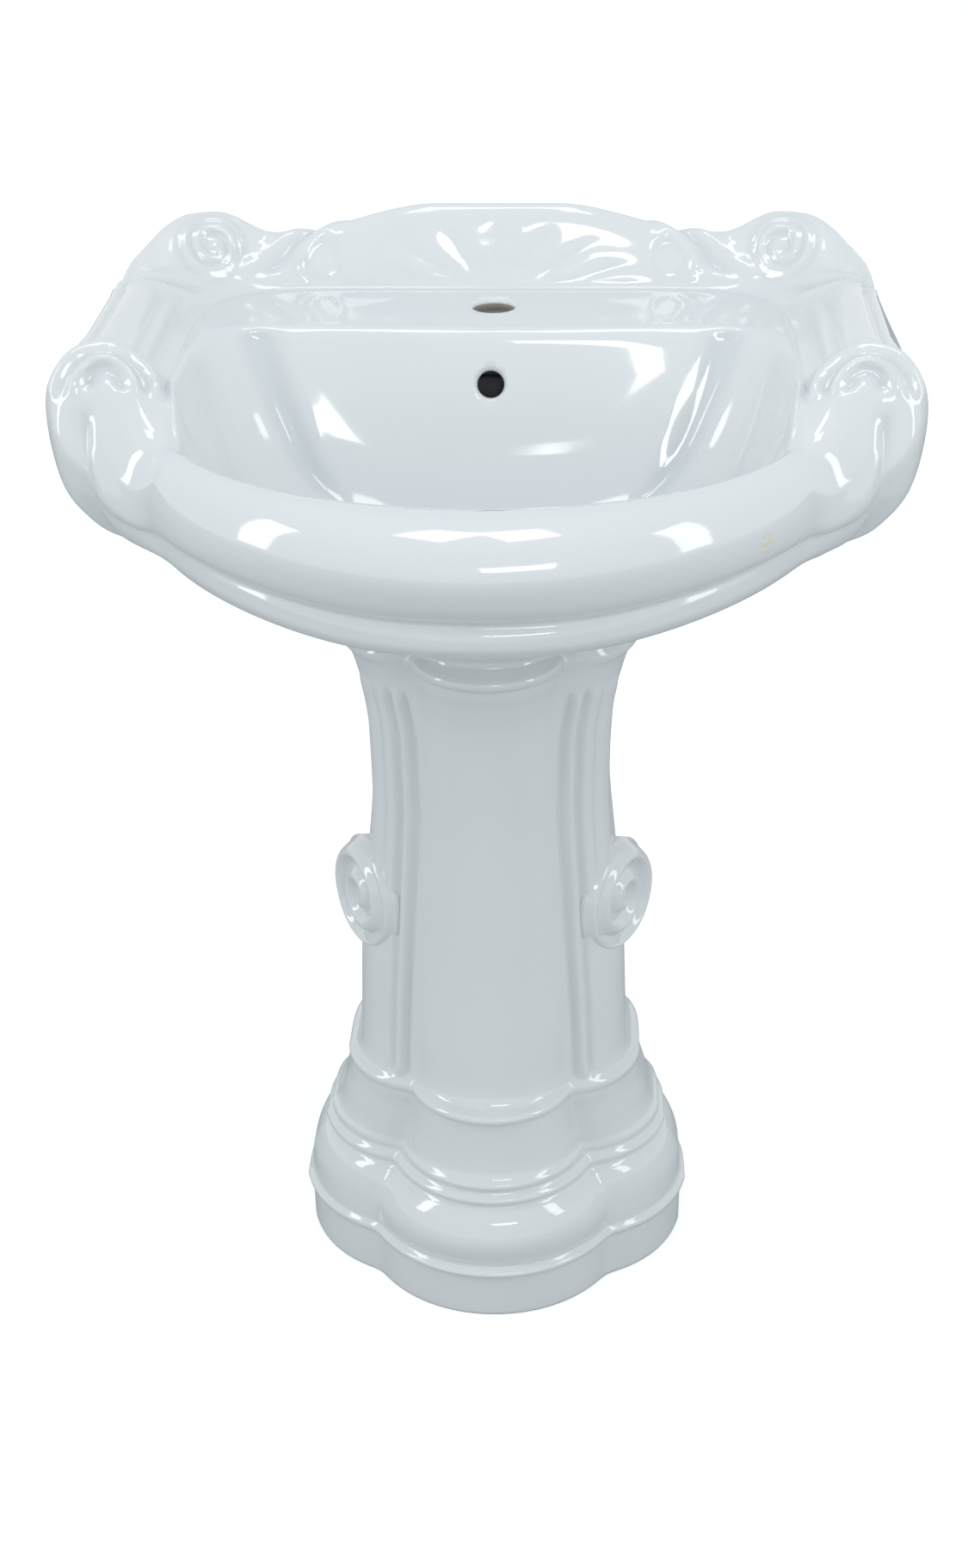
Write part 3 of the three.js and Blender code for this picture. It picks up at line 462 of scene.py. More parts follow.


# Painted shade: the glaze colour is darkened and blued in the grooves, where shade falls. The glaze also
# has a few dark pinholes, and two small yellow scuffs on the right of the front roll.
def add_glaze_marks_and_shade(material, scuffs):
    tree = material.node_tree
    add, link = tree.nodes.new, tree.links.new
    shader, surface = tree.nodes["Principled BSDF"], tree.nodes["surface"]
    place = add("ShaderNodeTexCoord")
    colour = surface.outputs["Color"]

    # lays a tint over the colour through a mask: used for the painted shade in the grooves and for the
    # real pinholes and scuffs
    def stain_and_shade(mask, tint, strength):
        layer, amount = add("ShaderNodeMix"), add("ShaderNodeMath")
        amount.operation = "MULTIPLY"
        amount.inputs[1].default_value = strength
        layer.data_type = "RGBA"
        layer.inputs["B"].default_value = (*tint, 1)
        link(mask, amount.inputs[0])
        link(amount.outputs["Value"], layer.inputs["Factor"])
        link(colour, layer.inputs["A"])
        return layer.outputs["Result"]

    crevice_shade = add("ShaderNodeAttribute")
    crevice_shade.attribute_name = "crevice_shade"
    # painted shade: the carved grooves are darkened and blued where shade would fall
    colour = stain_and_shade(crevice_shade.outputs["Fac"], (0.42, 0.5, 0.54), 0.22)

    cells, pinhole = add("ShaderNodeTexVoronoi"), add("ShaderNodeMath")
    small, few = add("ShaderNodeMath"), add("ShaderNodeMath")
    cells.inputs["Scale"].default_value = 42
    small.operation = few.operation = "LESS_THAN"
    small.inputs[1].default_value = 0.036
    few.inputs[1].default_value = 0.07
    pinhole.operation = "MULTIPLY"
    link(place.outputs["Object"], cells.inputs["Vector"])
    link(cells.outputs["Distance"], small.inputs[0])
    link(cells.outputs["Color"], few.inputs[0])
    link(small.outputs["Value"], pinhole.inputs[0])
    link(few.outputs["Value"], pinhole.inputs[1])
    colour = stain_and_shade(pinhole.outputs["Value"], (0.05, 0.05, 0.045), 0.85)

    smear, streaks = add("ShaderNodeTexNoise"), add("ShaderNodeMath")
    smear.inputs["Scale"].default_value = 260
    streaks.operation = "GREATER_THAN"
    streaks.inputs[1].default_value = 0.53
    link(place.outputs["Object"], smear.inputs["Vector"])
    link(smear.outputs["Fac"], streaks.inputs[0])
    for spot, size in scuffs:
        away, near, mask = add("ShaderNodeVectorMath"), add("ShaderNodeMapRange"), add("ShaderNodeMath")
        away.operation = "DISTANCE"
        away.inputs[1].default_value = spot
        near.inputs["From Min"].default_value = size
        near.inputs["From Max"].default_value = size * 0.6
        mask.operation = "MULTIPLY"
        link(place.outputs["Object"], away.inputs[0])
        link(away.outputs["Value"], near.inputs["Value"])
        link(near.outputs["Result"], mask.inputs[0])
        link(streaks.outputs["Value"], mask.inputs[1])
        colour = stain_and_shade(mask.outputs["Value"], (0.78, 0.66, 0.36), 0.6)
    link(colour, shader.inputs["Base Color"])
    shader.inputs["Coat Weight"].default_value = 0.6
    shader.inputs["Coat Roughness"].default_value = 0.04
    shader.inputs["Specular IOR Level"].default_value = 0.55


add_glaze_marks_and_shade(china, [((0.212, -0.165, 0.763), 0.011), ((0.1, -0.236, 0.737), 0.006)])

basin = ring_mesh("china_basin", [seat, face, [lip], hidden, boss], china, face_carving, len(seat))
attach(basin, "sink")
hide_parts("basin")

# Pedestal: one slip-cast column that carries the basin and hides its plumbing. In plan a front
# lobe stands between two side lobes, squared off and slotted at the back. Sizes in millimetres.
waist_half = 101
axis_y = 10
back_reach = 100
pedestal_top = seat_z - wall_thickness + 2
pedestal_wall = 11

# Heights, reach and radius of the front lobe, half width, radius of a side lobe, its distance
# behind the axis: the foot from the floor up, the shaft as shares of its height, the capital
# from the top down.
foot_rows = [
    [0, 139, 120, 172, 108, 20], [3, 140.5, 120, 173.5, 108, 20], [40, 141, 120, 174, 108, 20],
    [45, 142, 120, 175, 108, 20], [47.5, 146, 121, 178, 110, 20], [50, 147, 121, 178.5, 110, 20],
    [53, 145, 120, 177, 109, 20], [55, 140, 118, 173, 107, 20], [62, 142.5, 118, 173, 107, 20],
    [80, 146, 115, 172, 104, 19], [98, 140, 106, 166, 98, 17], [108, 131.5, 98, 159, 89, 15],
    [112, 127, 94, 154.5, 85, 15], [115, 128, 93, 154.5, 85, 15], [118, 131.5, 93, 157.5, 84, 14],
    [121, 131, 91, 157, 83, 14], [124, 126.5, 89, 152, 80, 13], [127, 125, 87, 150, 79, 13],
    [131, 128.5, 85, 151.5, 78, 12], [134, 129, 84, 151.5, 77, 12], [138, 124.5, 82, 146.5, 75, 10],
    [144, 121.5, 82, 143, 74, 8], [160, 119, 79, 137.5, 72, 4], [180, 117.5, 77, 131, 70, -1],
    [192, 117, 76, 128, 70, -4], [195, 119, 76, 129, 70, -4], [198, 124, 75, 131.5, 70, -5],
    [202, 124.5, 75, 131.5, 70, -5], [205, 120, 75, 128, 69, -5], [208, 113, 75, 123.5, 68, -5],
]
shaft_rows = [
    [0.03, 108, 75, 120, 67, -5], [0.12, 105.5, 77, 118, 66, -4], [0.27, 101, 78, 116, 65, -3],
    [0.5, 95, 75, 108, 62, -1], [0.74, 90, 70, 101, 60, 0], [0.92, 91, 66, 104, 60, 0],
]
capital_rows = [
    [78, 96, 64, 111, 60, 0], [66, 100, 64, 114.5, 61, 0], [58, 101.5, 65, 118, 62, 0],
    [55, 108, 66, 121, 62, 0], [51, 110.5, 66, 123.5, 62, 0], [47, 109, 65, 122, 61, 0],
    [44, 103, 63, 119, 61, 0], [38, 98, 60, 117, 60, 0], [30, 96.5, 60, 117, 60, 0],
    [18, 99, 61, 119, 60, 0], [8, 106, 65, 123, 62, 0], [3, 109.5, 67, 126, 63, 0],
    [0, 109, 67, 125.5, 63, 0],
]


def pedestal_rows():
    low = foot_rows[-1][0]
    high = pedestal_top - capital_rows[0][0]
    shaft = [[low + (high - low) * row[0]] + row[1:] for row in shaft_rows]
    capital = [[pedestal_top - row[0]] + row[1:] for row in capital_rows]
    return np.array(foot_rows + shaft + capital, float)


# Slopes that keep a smooth line through the rows from passing beyond any of them.
def calm_slopes(x, y):
    d = np.diff(y) / np.diff(x)
    m = np.zeros_like(y)
    same = d[:-1] * d[1:] > 0
    w1 = 2 * (x[2:] - x[1:-1]) + (x[1:-1] - x[:-2])
    w2 = (x[2:] - x[1:-1]) + 2 * (x[1:-1] - x[:-2])
    with np.errstate(divide="ignore", invalid="ignore"):
        m[1:-1] = np.where(same, (w1 + w2) / (w1 / d[:-1] + w2 / d[1:]), 0)
    m[0], m[-1] = d[0], d[-1]
    return m


def along_rows(rows, heights):
    made = [heights]
    for column in rows.T[1:]:
        x, m = rows[:, 0], calm_slopes(rows[:, 0], column)
        i = np.clip(np.searchsorted(x, heights, side="right") - 1, 0, len(x) - 2)
        h = x[i + 1] - x[i]
        t = (heights - x[i]) / h
        a = 2 * t ** 3 - 3 * t ** 2 + 1
        made.append(a * column[i] + (t ** 3 - 2 * t ** 2 + t) * h * m[i]
                    + (1 - a) * column[i + 1] + (t ** 3 - t ** 2) * h * m[i + 1])
    return np.stack(made, -1)


def reach_of_circle(dx, dy, x, y, radius):
    along = dx * x + dy * y
    return along + np.sqrt(np.maximum(along * along - x * x - y * y + radius * radius, 0))


# Directions round the pedestal, closer together where the front and side lobes meet.
half_turns = np.concatenate([np.arange(0, 24, 1.5), np.arange(24, 66, 0.75), np.arange(66, 180.01, 1.5)])
pedestal_turns = np.radians(np.concatenate([half_turns, 360 - half_turns[-2:0:-1]]))


def pedestal_loops(rows, inset):
    z, reach, lobe, half_width, side_radius, side_y = (column[:, None] for column in rows.T)
    dx, dy = np.sin(pedestal_turns)[None], -np.cos(pedestal_turns)[None]
    front = reach_of_circle(np.abs(dx), dy, 0, lobe - reach, lobe)
    side = reach_of_circle(np.abs(dx), dy, half_width - side_radius, side_y, side_radius)
    # the crease between the lobes is filled by a small radius
    soft = 2.5
    distance = soft * np.logaddexp(front / soft, side / soft)
    across = reach_of_circle(1, 0, half_width - side_radius, side_y, side_radius)
    squared = ((np.abs(dx) / across) ** 4 + (dy / back_reach) ** 4) ** -0.25
    distance = mix(distance, squared, smooth(dy, -0.05, 0.05)) - inset
    return np.stack([dx * distance, axis_y + dy * distance, z + 0 * dx], -1)


rows = pedestal_rows()
heights = np.concatenate([np.arange(0, 212, 1.6), np.arange(212, pedestal_top - 82, 5),
                          np.arange(pedestal_top - 82, pedestal_top, 1.6), [pedestal_top]])
outside = pedestal_loops(along_rows(rows, heights), 0)


# Carving on the shaft: the front panel is edged by a rib on each side, and beside each rib a flat
# ribbon runs down from the capital to the scrolls.
def shaft_carving(points):
    x, y, z = np.abs(points[..., 0]), points[..., 1], points[..., 2]
    edge = np.interp(z, [205, 260, 470, 540, 590], [75, 73, 61, 62, 70])
    shaft = smooth(z, 206, 216) * (1 - smooth(z, 574, 586)) * (y < 30)
    rib = 3.4 * bump(x, edge + 6, 4) - 2.6 * bump(x, edge - 1, 2.2) - 2.6 * bump(x, edge + 13, 2.4)
    ribbon = smooth(x, edge + 14, edge + 18) * (1 - smooth(x, edge + 36, edge + 40))
    ribbon = 2.6 * ribbon - 1.8 * bump(x, edge + 27, 3)
    return shaft * (rib + ribbon * smooth(z, 330, 380))


column_carving = shaft_carving(outside)
outside = outside + normals_of(outside[::-1])[::-1] * column_carving[..., None]
inner_heights = np.array([0, 45, 75, 110, 135, 160, 205, 260, 330, 400, 470, 530, 585, 620, pedestal_top])
inner_rows = along_rows(rows, inner_heights)
inside = pedestal_loops(inner_rows, pedestal_wall)
pedestal = ring_mesh("china_pedestal", [outside[::-1], inside], china, column_carving[::-1])
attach(pedestal, "sink")
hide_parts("pedestal")

# Shaft scrolls: the ribbons curl up at the sides of the pedestal into spiral discs, moulded in one
# with it and glazed over. Their backs end inside its wall. Sizes in millimetres.
scroll_radius = 52
scroll_height = 366
scroll_turn = math.radians(60)
scroll_root = pedestal_wall - 4
scroll_stand_off = 5
scroll_forward = 14
scroll_depth = 26
spiral_pitch = 21
spiral_relief = 3.6


def scroll_disc(side):
    outward = np.array([side * math.sin(scroll_turn), -math.cos(scroll_turn), 0])
    sideways = np.array([side * math.cos(scroll_turn), math.sin(scroll_turn), 0])
    centre = np.array([side * (waist_half + scroll_stand_off), axis_y - scroll_forward, scroll_height])
    turn = np.radians(np.arange(0, 360, 4))
    spread = sideways[None] * np.cos(turn)[:, None] + np.array([[0, 0, 1]]) * np.sin(turn)[:, None]
    behind = centre - scroll_depth * outward
    loops = [behind + 0 * spread, behind + scroll_radius * 0.9 * spread]
    for radius in np.arange(scroll_radius, -0.1, -1.3):
        edge = 12 * (1 - smooth(radius, scroll_radius - 8, scroll_radius))
        phase = radius / spiral_pitch + turn / (2 * np.pi)
        spiral = spiral_relief * np.cos(2 * np.pi * phase)
        spiral = spiral * (1 - smooth(radius, 42, 51)) * smooth(radius, 3, 10)
        loops.append(centre + radius * spread + (edge - 1 + spiral)[:, None] * outward)
    return loops if side > 0 else [loop[::-1] for loop in loops]


# Draws the first and last loops in to a point, which closes a stack of loops.
def capped(loops):
    first, last = loops[0].mean(0), loops[-1].mean(0)
    start = [mix(loops[0], first, share) for share in (1, 0.6, 0.15)]
    return [start, loops, [mix(loops[-1], last, share) for share in (0.3, 1)]]


def cut(body, tools, operation="DIFFERENCE"):
    for tool in tools:
        modifier = body.modifiers.new("cut", "BOOLEAN")
        modifier.operation = operation
        modifier.solver = "EXACT"
        modifier.object = tool
        modifier.material_mode = "TRANSFER"
        bpy.context.view_layer.objects.active = body
        bpy.ops.object.modifier_apply(modifier=modifier.name)
        bpy.data.objects.remove(tool)


for side, name in [(-1, "left"), (1, "right")]:
    disc = ring_mesh("scroll_" + name, [scroll_disc(side)], china)
    hollow = capped(pedestal_loops(inner_rows, scroll_root)[::-1])
    cut(disc, [ring_mesh("hollow", hollow, china)])
    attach(disc, "sink")

# Holes through the basin: the tap hole in the ledge, the overflow in the rear wall of the bowl and two
# bolt holes in the wall face. The tap and overflow mouths are eased; the tap and bolt bores are unglazed,
# and the overflow bore is painted near-black as painted shade.
tap_radius = 17.5
tap_place = (0, wall_y - 94, ledge)
overflow_radius = 11
overflow_lean = 72
overflow_place = (0, bowl_back - 5, ledge - 44)
bolt_radius = 7
bolt_out = 140
bolt_z = ledge - 62
bare_china = finish("unglazed china", (0.5, 0.44, 0.36), (0.3, 0.25, 0.2), 60, (0.6, 0.85), 0.0003, 0)
# painted shade: a near-black finish for the overflow bore and the duct's passage, darker than unglazed
# china, standing in for the shade inside them
painted_shade_china = finish("duct inside", (0.03, 0.035, 0.05), (0.015, 0.018, 0.025), 40, (0.4, 0.6), 0.0002, 0)
smooth_under = math.radians(32)


# A piece turned on its own axis, which starts as +Z. The profile lists radius and height in
# millimetres: up the outside of a solid, or all the way round the section of a ring.
def turned(name, profile, place, material, lean=0, sides=72, bevel=0):
    ring = profile[0] == profile[-1]
    bpy.ops.object.select_all(action="DESELECT")
    bpy.ops.mesh.primitive_circle_add(vertices=sides, radius=profile[0][0] * MM,
                                      fill_type="NOTHING" if ring else "NGON", enter_editmode=True)
    bpy.ops.mesh.select_all(action="SELECT")
    bpy.ops.transform.translate(value=(0, 0, profile[0][1] * MM))
    for (radius, height), (next_radius, next_height) in zip(profile, profile[1:]):
        lift = {"value": (0, 0, (next_height - height) * MM)}
        bpy.ops.mesh.extrude_region_move(TRANSFORM_OT_translate=lift)
        share = next_radius / radius
        bpy.ops.transform.resize(value=(share, share, 1), center_override=(0, 0, 0))
    bpy.ops.mesh.select_all(action="SELECT")
    bpy.ops.mesh.remove_doubles(threshold=1e-6)
    bpy.ops.mesh.normals_make_consistent(inside=False)
    bpy.ops.object.mode_set(mode="OBJECT")
    piece = bpy.context.object
    piece.name = name
    piece.rotation_euler = (math.radians(lean), 0, 0)
    piece.location = [value * MM for value in place]
    bpy.ops.object.transform_apply(location=True, rotation=True, scale=True)
    if bevel:
        modifier = piece.modifiers.new("eased edges", "BEVEL")
        modifier.width = bevel * MM
        modifier.segments = 2
        modifier.limit_method = "ANGLE"
        modifier.angle_limit = math.radians(35)
        bpy.ops.object.modifier_apply(modifier=modifier.name)
    piece.data.materials.append(material)
    bpy.ops.object.shade_smooth_by_angle(angle=smooth_under)
    return piece


tap_shape = [[tap_radius, -3], [tap_radius, -2.2], [18.1, -0.9], [19.4, 0], [22, 1.5], [22, 30]]
tap_mouth = turned("tap mouth", tap_shape, tap_place, china)
tap_bore = turned("tap bore", [[tap_radius, -34], [tap_radius, 2]], tap_place, bare_china)
rim_shape = [[overflow_radius, 1], [overflow_radius, 2.5], [11.6, 4], [13.4, 5.6], [16, 7.5], [16, 16]]
overflow_rim = turned("overflow rim", rim_shape, overflow_place, china, lean=overflow_lean)
bore_shape = [[overflow_radius, -16], [overflow_radius, 3]]
overflow_bore = turned("overflow bore", bore_shape, overflow_place, painted_shade_china, lean=overflow_lean)
bolt_shape = [[bolt_radius, -20], [bolt_radius, 20]]
bolts = [turned("bolt bore", bolt_shape, (side * bolt_out, wall_y, bolt_z), bare_china, lean=90)
         for side in (-1, 1)]
cut(basin, [tap_mouth, tap_bore, overflow_rim, overflow_bore] + bolts)

# Overflow passage: a flat duct cast on the back of the bowl, open to the overflow hole at its top and to
# the waste's side slots at its foot. Inside it is unglazed, and painted near-black as painted shade.
duct_bends = np.array([[113, 806], [108, 788], [90, 738], [64, 704], [38, 676], [14, 652], [4, 650.5]])
duct_line = through(duct_bends[:, None], [4] * 6)[:, 0]


def duct_loops(half_deep, half_across, line):
    along = np.gradient(line, axis=0)
    along /= np.linalg.norm(along, axis=1, keepdims=True)
    turn = np.radians(np.arange(0, 360, 9))
    across = half_across * np.sign(np.cos(turn)) * np.abs(np.cos(turn)) ** 0.5
    deep = half_deep * np.sign(np.sin(turn)) * np.abs(np.sin(turn)) ** 0.5
    return [np.stack([across, y - deep * ahead_z, z + deep * ahead_y], -1)
            for (y, z), (ahead_y, ahead_z) in zip(line, along)]


duct = ring_mesh("overflow_duct", capped(duct_loops(14, 23, duct_line)), china)
passage = ring_mesh("passage", capped(duct_loops(6, 15, duct_line[2:])), painted_shade_china)
mouth_shape = [[overflow_radius, -16], [overflow_radius, 12]]
overflow_mouth = turned("overflow mouth", mouth_shape, overflow_place, painted_shade_china, lean=overflow_lean)
cut(duct, [passage, overflow_mouth])
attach(duct, "sink")

# Seating lugs: three blocks cast under the bowl that stand on the pedestal's rim, one at the front
# and one at each side. Their edges are eased and glazed like the rest.
lug_foot = pedestal_top + 0.3
lugs = [("front", 0, -94, 60, 12, 678), ("left", -120, 10, 12, 60, 686), ("right", 120, 10, 12, 60, 686)]
for name, x, y, across, deep, top in lugs:
    bpy.ops.object.select_all(action="DESELECT")
    bpy.ops.mesh.primitive_cube_add(size=MM, enter_editmode=True)
    bpy.ops.transform.resize(value=(across, deep, top - lug_foot))
    bpy.ops.mesh.select_all(action="SELECT")
    bpy.ops.transform.translate(value=(x * MM, y * MM, (top + lug_foot) / 2 * MM))
    bpy.ops.mesh.bevel(offset=2 * MM, segments=3, affect="EDGES")
    bpy.ops.object.mode_set(mode="OBJECT")
    lug = bpy.context.object
    lug.name = "seating_lug_" + name
    lug.data.materials.append(china)
    bpy.ops.object.shade_smooth_by_angle(angle=math.radians(40))
    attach(lug, "sink")

# Slot: the back of the pedestal is open from its foot moulding to its top, for the pipes. Its
# corners are rounded and its sides left unglazed.
slot_width = 130
slot_depth = 60
slot_low = 60
slot_high = pedestal_top + 40
bpy.ops.object.select_all(action="DESELECT")
bpy.ops.mesh.primitive_cube_add(size=MM, enter_editmode=True)
bpy.ops.transform.resize(value=(slot_width, slot_depth, slot_high - slot_low))
bpy.ops.transform.translate(value=(0, (axis_y + back_reach) * MM, (slot_low + slot_high) / 2 * MM))
bpy.ops.mesh.bevel(offset=9 * MM, segments=6, affect="EDGES")
bpy.ops.object.mode_set(mode="OBJECT")
slot_tool = bpy.context.object
slot_tool.data.materials.append(bare_china)
cut(pedestal, [slot_tool])

# Finishes of the waste and trap: plated brass with water marks, bare brass, black rubber, nylon and
# spring steel.
chrome = finish("chrome plate", (0.8, 0.81, 0.83), (0.68, 0.7, 0.72), 28, (0.05, 0.16), 0.00002, 1)
brass = finish("brass", (0.72, 0.52, 0.26), (0.5, 0.34, 0.15), 45, (0.22, 0.42), 0.00006, 1)
rubber = finish("black rubber", (0.03, 0.03, 0.032), (0.06, 0.06, 0.058), 70, (0.6, 0.8), 0.00012, 0)
nylon = finish("nylon", (0.82, 0.8, 0.74), (0.7, 0.68, 0.6), 55, (0.4, 0.55), 0.00005, 0)
steel = finish("spring steel", (0.5, 0.52, 0.54), (0.36, 0.37, 0.39), 90, (0.2, 0.38), 0.00002, 1)

# Waste: a chromed brass tube with a dished flange, slotted for the overflow, clamped to the bowl
# by a brass back nut between two rubber gaskets. Heights are from the waste seat.
drain = (0, drain_y, seat_z)


def fit(piece, node, body):
    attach(piece, body)
    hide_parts(node)


flange = [[18, -88], [20.95, -88], [20.95, 2.4], [30.4, 2.4], [30.95, 3], [30.6, 3.9], [28.5, 5.1],
          [26, 5.4], [23, 5.1], [19.4, 4.4], [18, 3], [18, -88]]
waste = turned("waste", flange, drain, chrome)
side_slot = (0, drain_y, seat_z - 18)
slot_cutter = turned("slot cutter", [[8, -30], [8, 30]], side_slot, chrome, lean=90, sides=24)
hub = turned("hub", [[5.3, -48], [9, -48], [9, -44], [5.3, -44], [5.3, -48]], drain, chrome, bevel=0.4)
cut(waste, [slot_cutter])
arms = []
for turn in (90, 210, 330):
    bpy.ops.object.select_all(action="DESELECT")
    bpy.ops.mesh.primitive_cube_add(size=MM, enter_editmode=True)
    bpy.ops.transform.resize(value=(11.4, 3.6, 3.6))
    bpy.ops.mesh.select_all(action="SELECT")
    bpy.ops.mesh.bevel(offset=0.5 * MM, segments=2, affect="EDGES")
    bpy.ops.transform.translate(value=(13.4 * MM, 0, -46 * MM))
    bpy.ops.object.mode_set(mode="OBJECT")
    arm = bpy.context.object
    arm.rotation_euler = (0, 0, math.radians(turn))
    arm.location = [value * MM for value in drain]
    bpy.ops.object.transform_apply(location=True, rotation=True, scale=True)
    arm.data.materials.append(chrome)
    arms.append(arm)
cut(waste, arms + [hub], "UNION")
bpy.ops.object.select_all(action="DESELECT")
waste.select_set(True)
bpy.ops.object.shade_smooth_by_angle(angle=smooth_under)
fit(waste, "waste_body", "sink")


def gasket(name, outer, inner, low, high, place, body="sink", lean=0):
    side = (high - low) * 0.2
    profile = [[inner, low], [outer - side, low], [outer, low + side], [outer, high - side],
               [outer - side, high], [inner, high], [inner, low]]
    fit(turned(name + "_ring", profile, place, rubber, lean=lean), name, body)


gasket("waste_top_gasket", 30.95, 21.3, 0.3, 2.1, drain)
gasket("waste_lower_gasket", 32.95, 21.3, -36.3, -32.3, drain)


def hex_nut(name, corner, bore, low, high, place):
    ease = 0.08 * corner
    nut = turned(name + "_hex", [[corner, low], [corner, high]], place, brass, sides=6, bevel=0.7)
    crown = [[corner - ease, low - 1], [corner - ease, low], [corner + 0.5, low + 0.5 * ease],
             [corner + 0.5, high - 0.5 * ease], [corner - ease, high], [corner - ease, high + 1]]
    cut(nut, [turned("crown", crown, place, brass)], "INTERSECT")
    cut(nut, [turned("bore", [[bore, low - 2], [bore, high + 2]], place, brass)])
    fit(nut, name, "sink")


hex_nut("waste_backnut", 32.27, 21.3, -47.6, -36.6, drain)

# Plug: a domed chromed cap with a rubber seal under it, on a brass stem that a spring cartridge
# carries. It is pressed down to close and again to open.
dome = [[7, 11.3], [7, 17.3], [28, 17.3], [28.95, 17.8], [28.8, 18.6], [27.4, 19.8], [25, 20.5],
        [21, 20.7], [19.5, 20.5], [18, 20.9], [12, 22], [6, 22.4], [0.3, 22.5]]
plug_cap = turned("plug_dome", dome, drain, chrome)
socket = turned("socket", [[3.8, 11], [3.8, 19.3]], drain, chrome, sides=36)
cut(plug_cap, [socket])
fit(plug_cap, "plug_cap", "plug")
gasket("plug_seal", 22, 7.3, 14.4, 17, drain, body="plug")
rod = [[6.3, -15], [6.3, -13], [3.5, -13], [3.5, -6], [3.2, -5.6], [3.2, -5], [3.5, -4.6],
       [3.5, 18.4], [2.9, 19]]
stem = turned("stem", rod, drain, brass, sides=48)
fit(stem, "plug_stem", "plug")
barrel = [[5, -54.7], [5, -43.7], [7.8, -43.7], [8.5, -43], [8.5, -30], [8, -29.5], [8, -28],
          [8.5, -27.5], [8.5, -10.4], [7.8, -9.7]]
cartridge = turned("cartridge_body", barrel, drain, nylon, sides=48)
well = turned("well", [[6.6, -40.7], [6.6, -12.7], [3.8, -12.7], [3.8, -9]], drain, nylon, sides=48)
cut(cartridge, [well])
fit(cartridge, "plug_cartridge", "sink")
hex_nut("cartridge_nut", 8.5, 5.3, -51.8, -48.3, drain)
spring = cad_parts["cartridge_spring"]
spring.data.materials.clear()
spring.data.materials.append(steel)

# Trap: a chromed bottle trap. Slip nuts with rubber washers hold its dip tube and its outlet pipe;
# the cup screws off its head for cleaning. The pipe ends in a cover plate at the wall.
outlet = (0, drain_y, seat_z - 172)


# The nut's side is ribbed for the grip: two of each three side faces are pressed in.
def slip_nut(name, outer, thread, pipe, low, top, place, lean=0):
    profile = [[pipe, top - 3], [thread, top - 3], [thread, low], [outer, low], [outer, low + 3],
               [outer, top - 3], [outer - 1.2, top - 0.8], [outer - 3, top], [pipe, top], [pipe, top - 3]]
    if low > top:
        profile = [[pipe, top + 3], [pipe, top], [outer - 3, top], [outer - 1.2, top + 0.8],
                   [outer, top + 3], [outer, low - 3], [outer, low], [thread, low], [thread, top + 3],
                   [pipe, top + 3]]
    nut = turned(name + "_ribbed", profile, (0, 0, 0), chrome)
    for side_face in nut.data.polygons:
        x, y, z = side_face.center
        turn = math.atan2(y, x) / (2 * math.pi) * 72
        half_way = abs(z - (top + low) / 2 * MM) < 2 * MM
        on_side = math.hypot(x, y) > (outer - 0.4) * MM
        side_face.select = half_way and on_side and int(turn + 72) % 3 != 0
    bpy.ops.object.mode_set(mode="EDIT")
    bpy.ops.mesh.select_mode(type="FACE")
    bpy.ops.mesh.inset(use_individual=False, thickness=0.35 * MM, depth=-0.6 * MM)
    bpy.ops.mesh.select_mode(type="VERT")
    bpy.ops.object.mode_set(mode="OBJECT")
    nut.rotation_euler = (math.radians(lean), 0, 0)
    nut.location = [value * MM for value in place]
    bpy.ops.object.transform_apply(location=True, rotation=True, scale=True)
    fit(nut, name, "sink")


slip_nut("inlet_nut", 24.95, 21.25, 16.4, -75.6, -94.6, drain)
gasket("inlet_washer", 20.75, 16.4, -91.3, -88.3, drain)
dip = [[14, -236], [16, -236], [16, -82], [14, -82], [14, -236]]
fit(turned("dip_pipe", dip, drain, chrome, bevel=0.3), "dip_tube", "sink")
slip_nut("trap_top_nut", 25, 21.3, 16.4, -140.4, -121.4, drain)
gasket("trap_top_washer", 20.8, 16.4, -127.7, -124.7, drain)

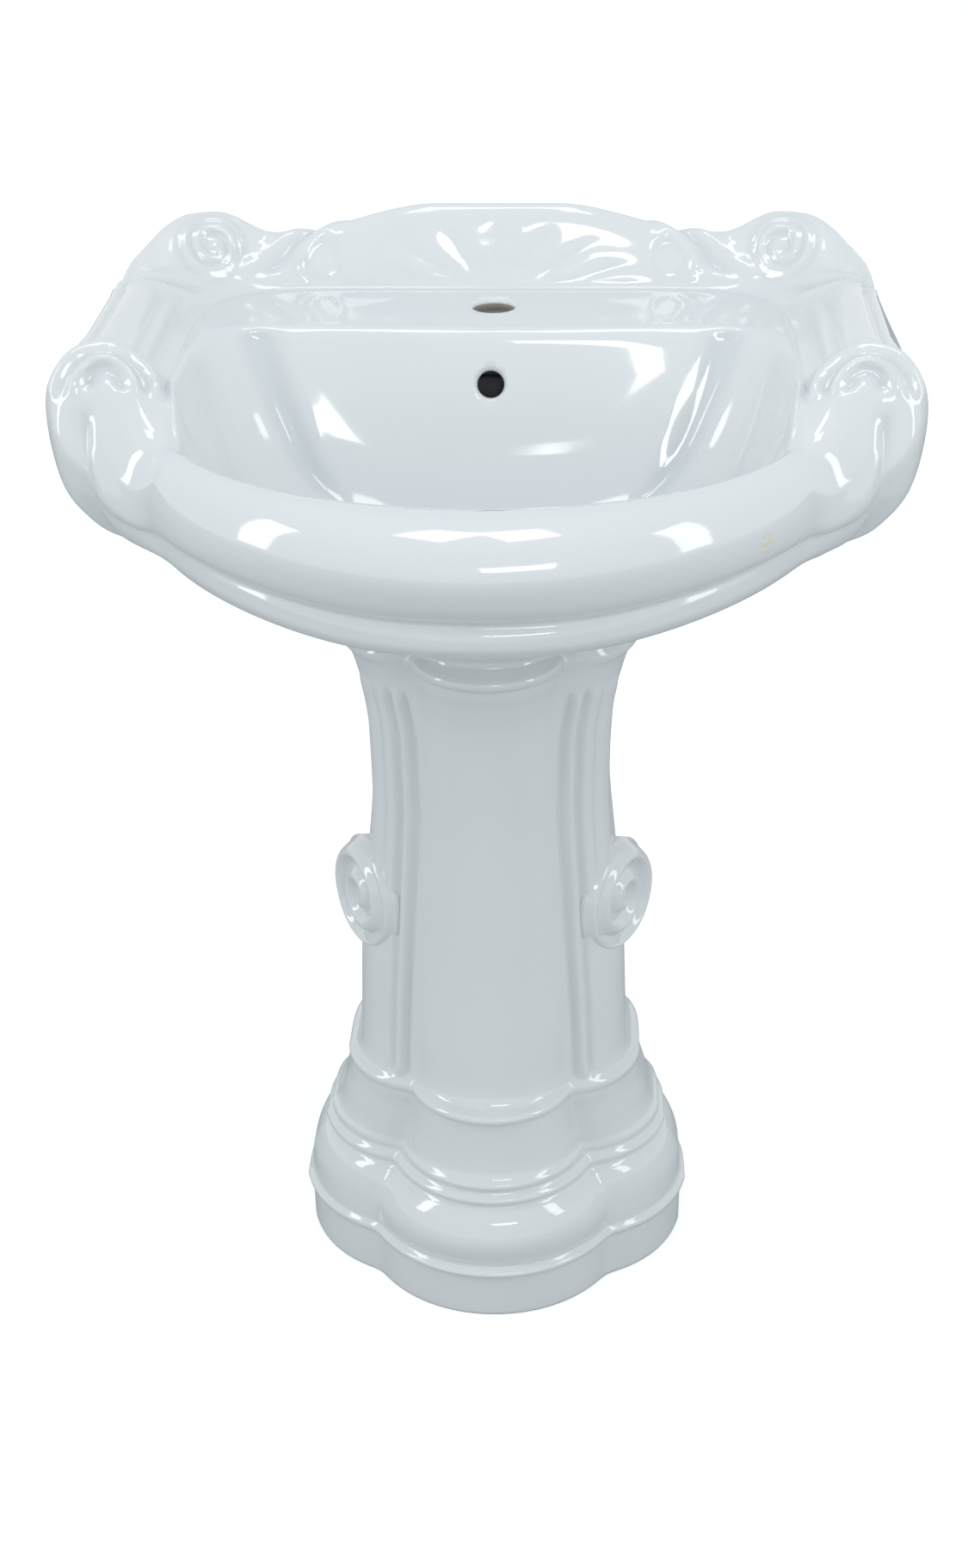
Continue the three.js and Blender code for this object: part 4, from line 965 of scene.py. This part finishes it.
head_profile = [[16.4, -147], [16.4, -128], [21, -128], [21, -143], [22.5, -144], [29.5, -144],
                [32, -144.8], [33.6, -147], [34, -149], [34, -168], [34, -177], [34, -194.5],
                [33.4, -196], [31, -196], [31, -210], [28, -210], [28, -147], [16.4, -147]]
head = turned("head_casting", head_profile, drain, chrome)
cut(head, [turned("port", [[21, 29.5], [21, 54]], outlet, chrome, lean=-90)], "UNION")
cut(head, [turned("port bore", [[16.4, 20], [16.4, 56]], outlet, chrome, lean=-90)])
bpy.ops.object.select_all(action="DESELECT")
head.select_set(True)
bpy.ops.object.shade_smooth_by_angle(angle=smooth_under)
fit(head, "trap_head", "sink")
gasket("cup_ring", 33.6, 31.3, -198.7, -196.3, drain)
cup_profile = [[31.3, -199], [31.3, -281], [27.3, -284], [4, -284], [4, -287], [26, -287], [30, -286.4],
               [33, -284.6], [34.6, -282], [35, -279], [35, -214], [36, -213], [36, -201], [35, -199.6],
               [34, -199], [31.3, -199]]
cup = turned("cup", cup_profile, drain, chrome)
knob = [[5, -284], [9, -284], [9, -291], [8, -292], [5, -292]]
boss_cap = turned("cup boss", knob, drain, chrome, sides=36)
cut(cup, [boss_cap], "UNION")
bpy.ops.object.select_all(action="DESELECT")
cup.select_set(True)
bpy.ops.object.shade_smooth_by_angle(angle=smooth_under)
fit(cup, "trap_cup", "sink")

slip_nut("outlet_nut", 25, 21.3, 16.4, 41.6, 60.6, outlet, lean=-90)
gasket("outlet_washer", 20.8, 16.4, 54.3, 57.3, outlet, lean=-90)
pipe = [[14, 46], [16, 46], [16, 283], [14, 283], [14, 46]]
fit(turned("outlet_tube", pipe, outlet, chrome, lean=-90, bevel=0.3), "outlet_pipe", "sink")
plate = [[16.3, 274], [20, 274], [20.8, 274.6], [22, 276.8], [26, 278.6], [30, 279.4], [34.4, 281.4],
         [35.8, 282.2], [36, 283], [16.3, 283], [16.3, 274]]
fit(turned("cover_plate", plate, outlet, chrome, lean=-90), "wall_escutcheon", "sink")
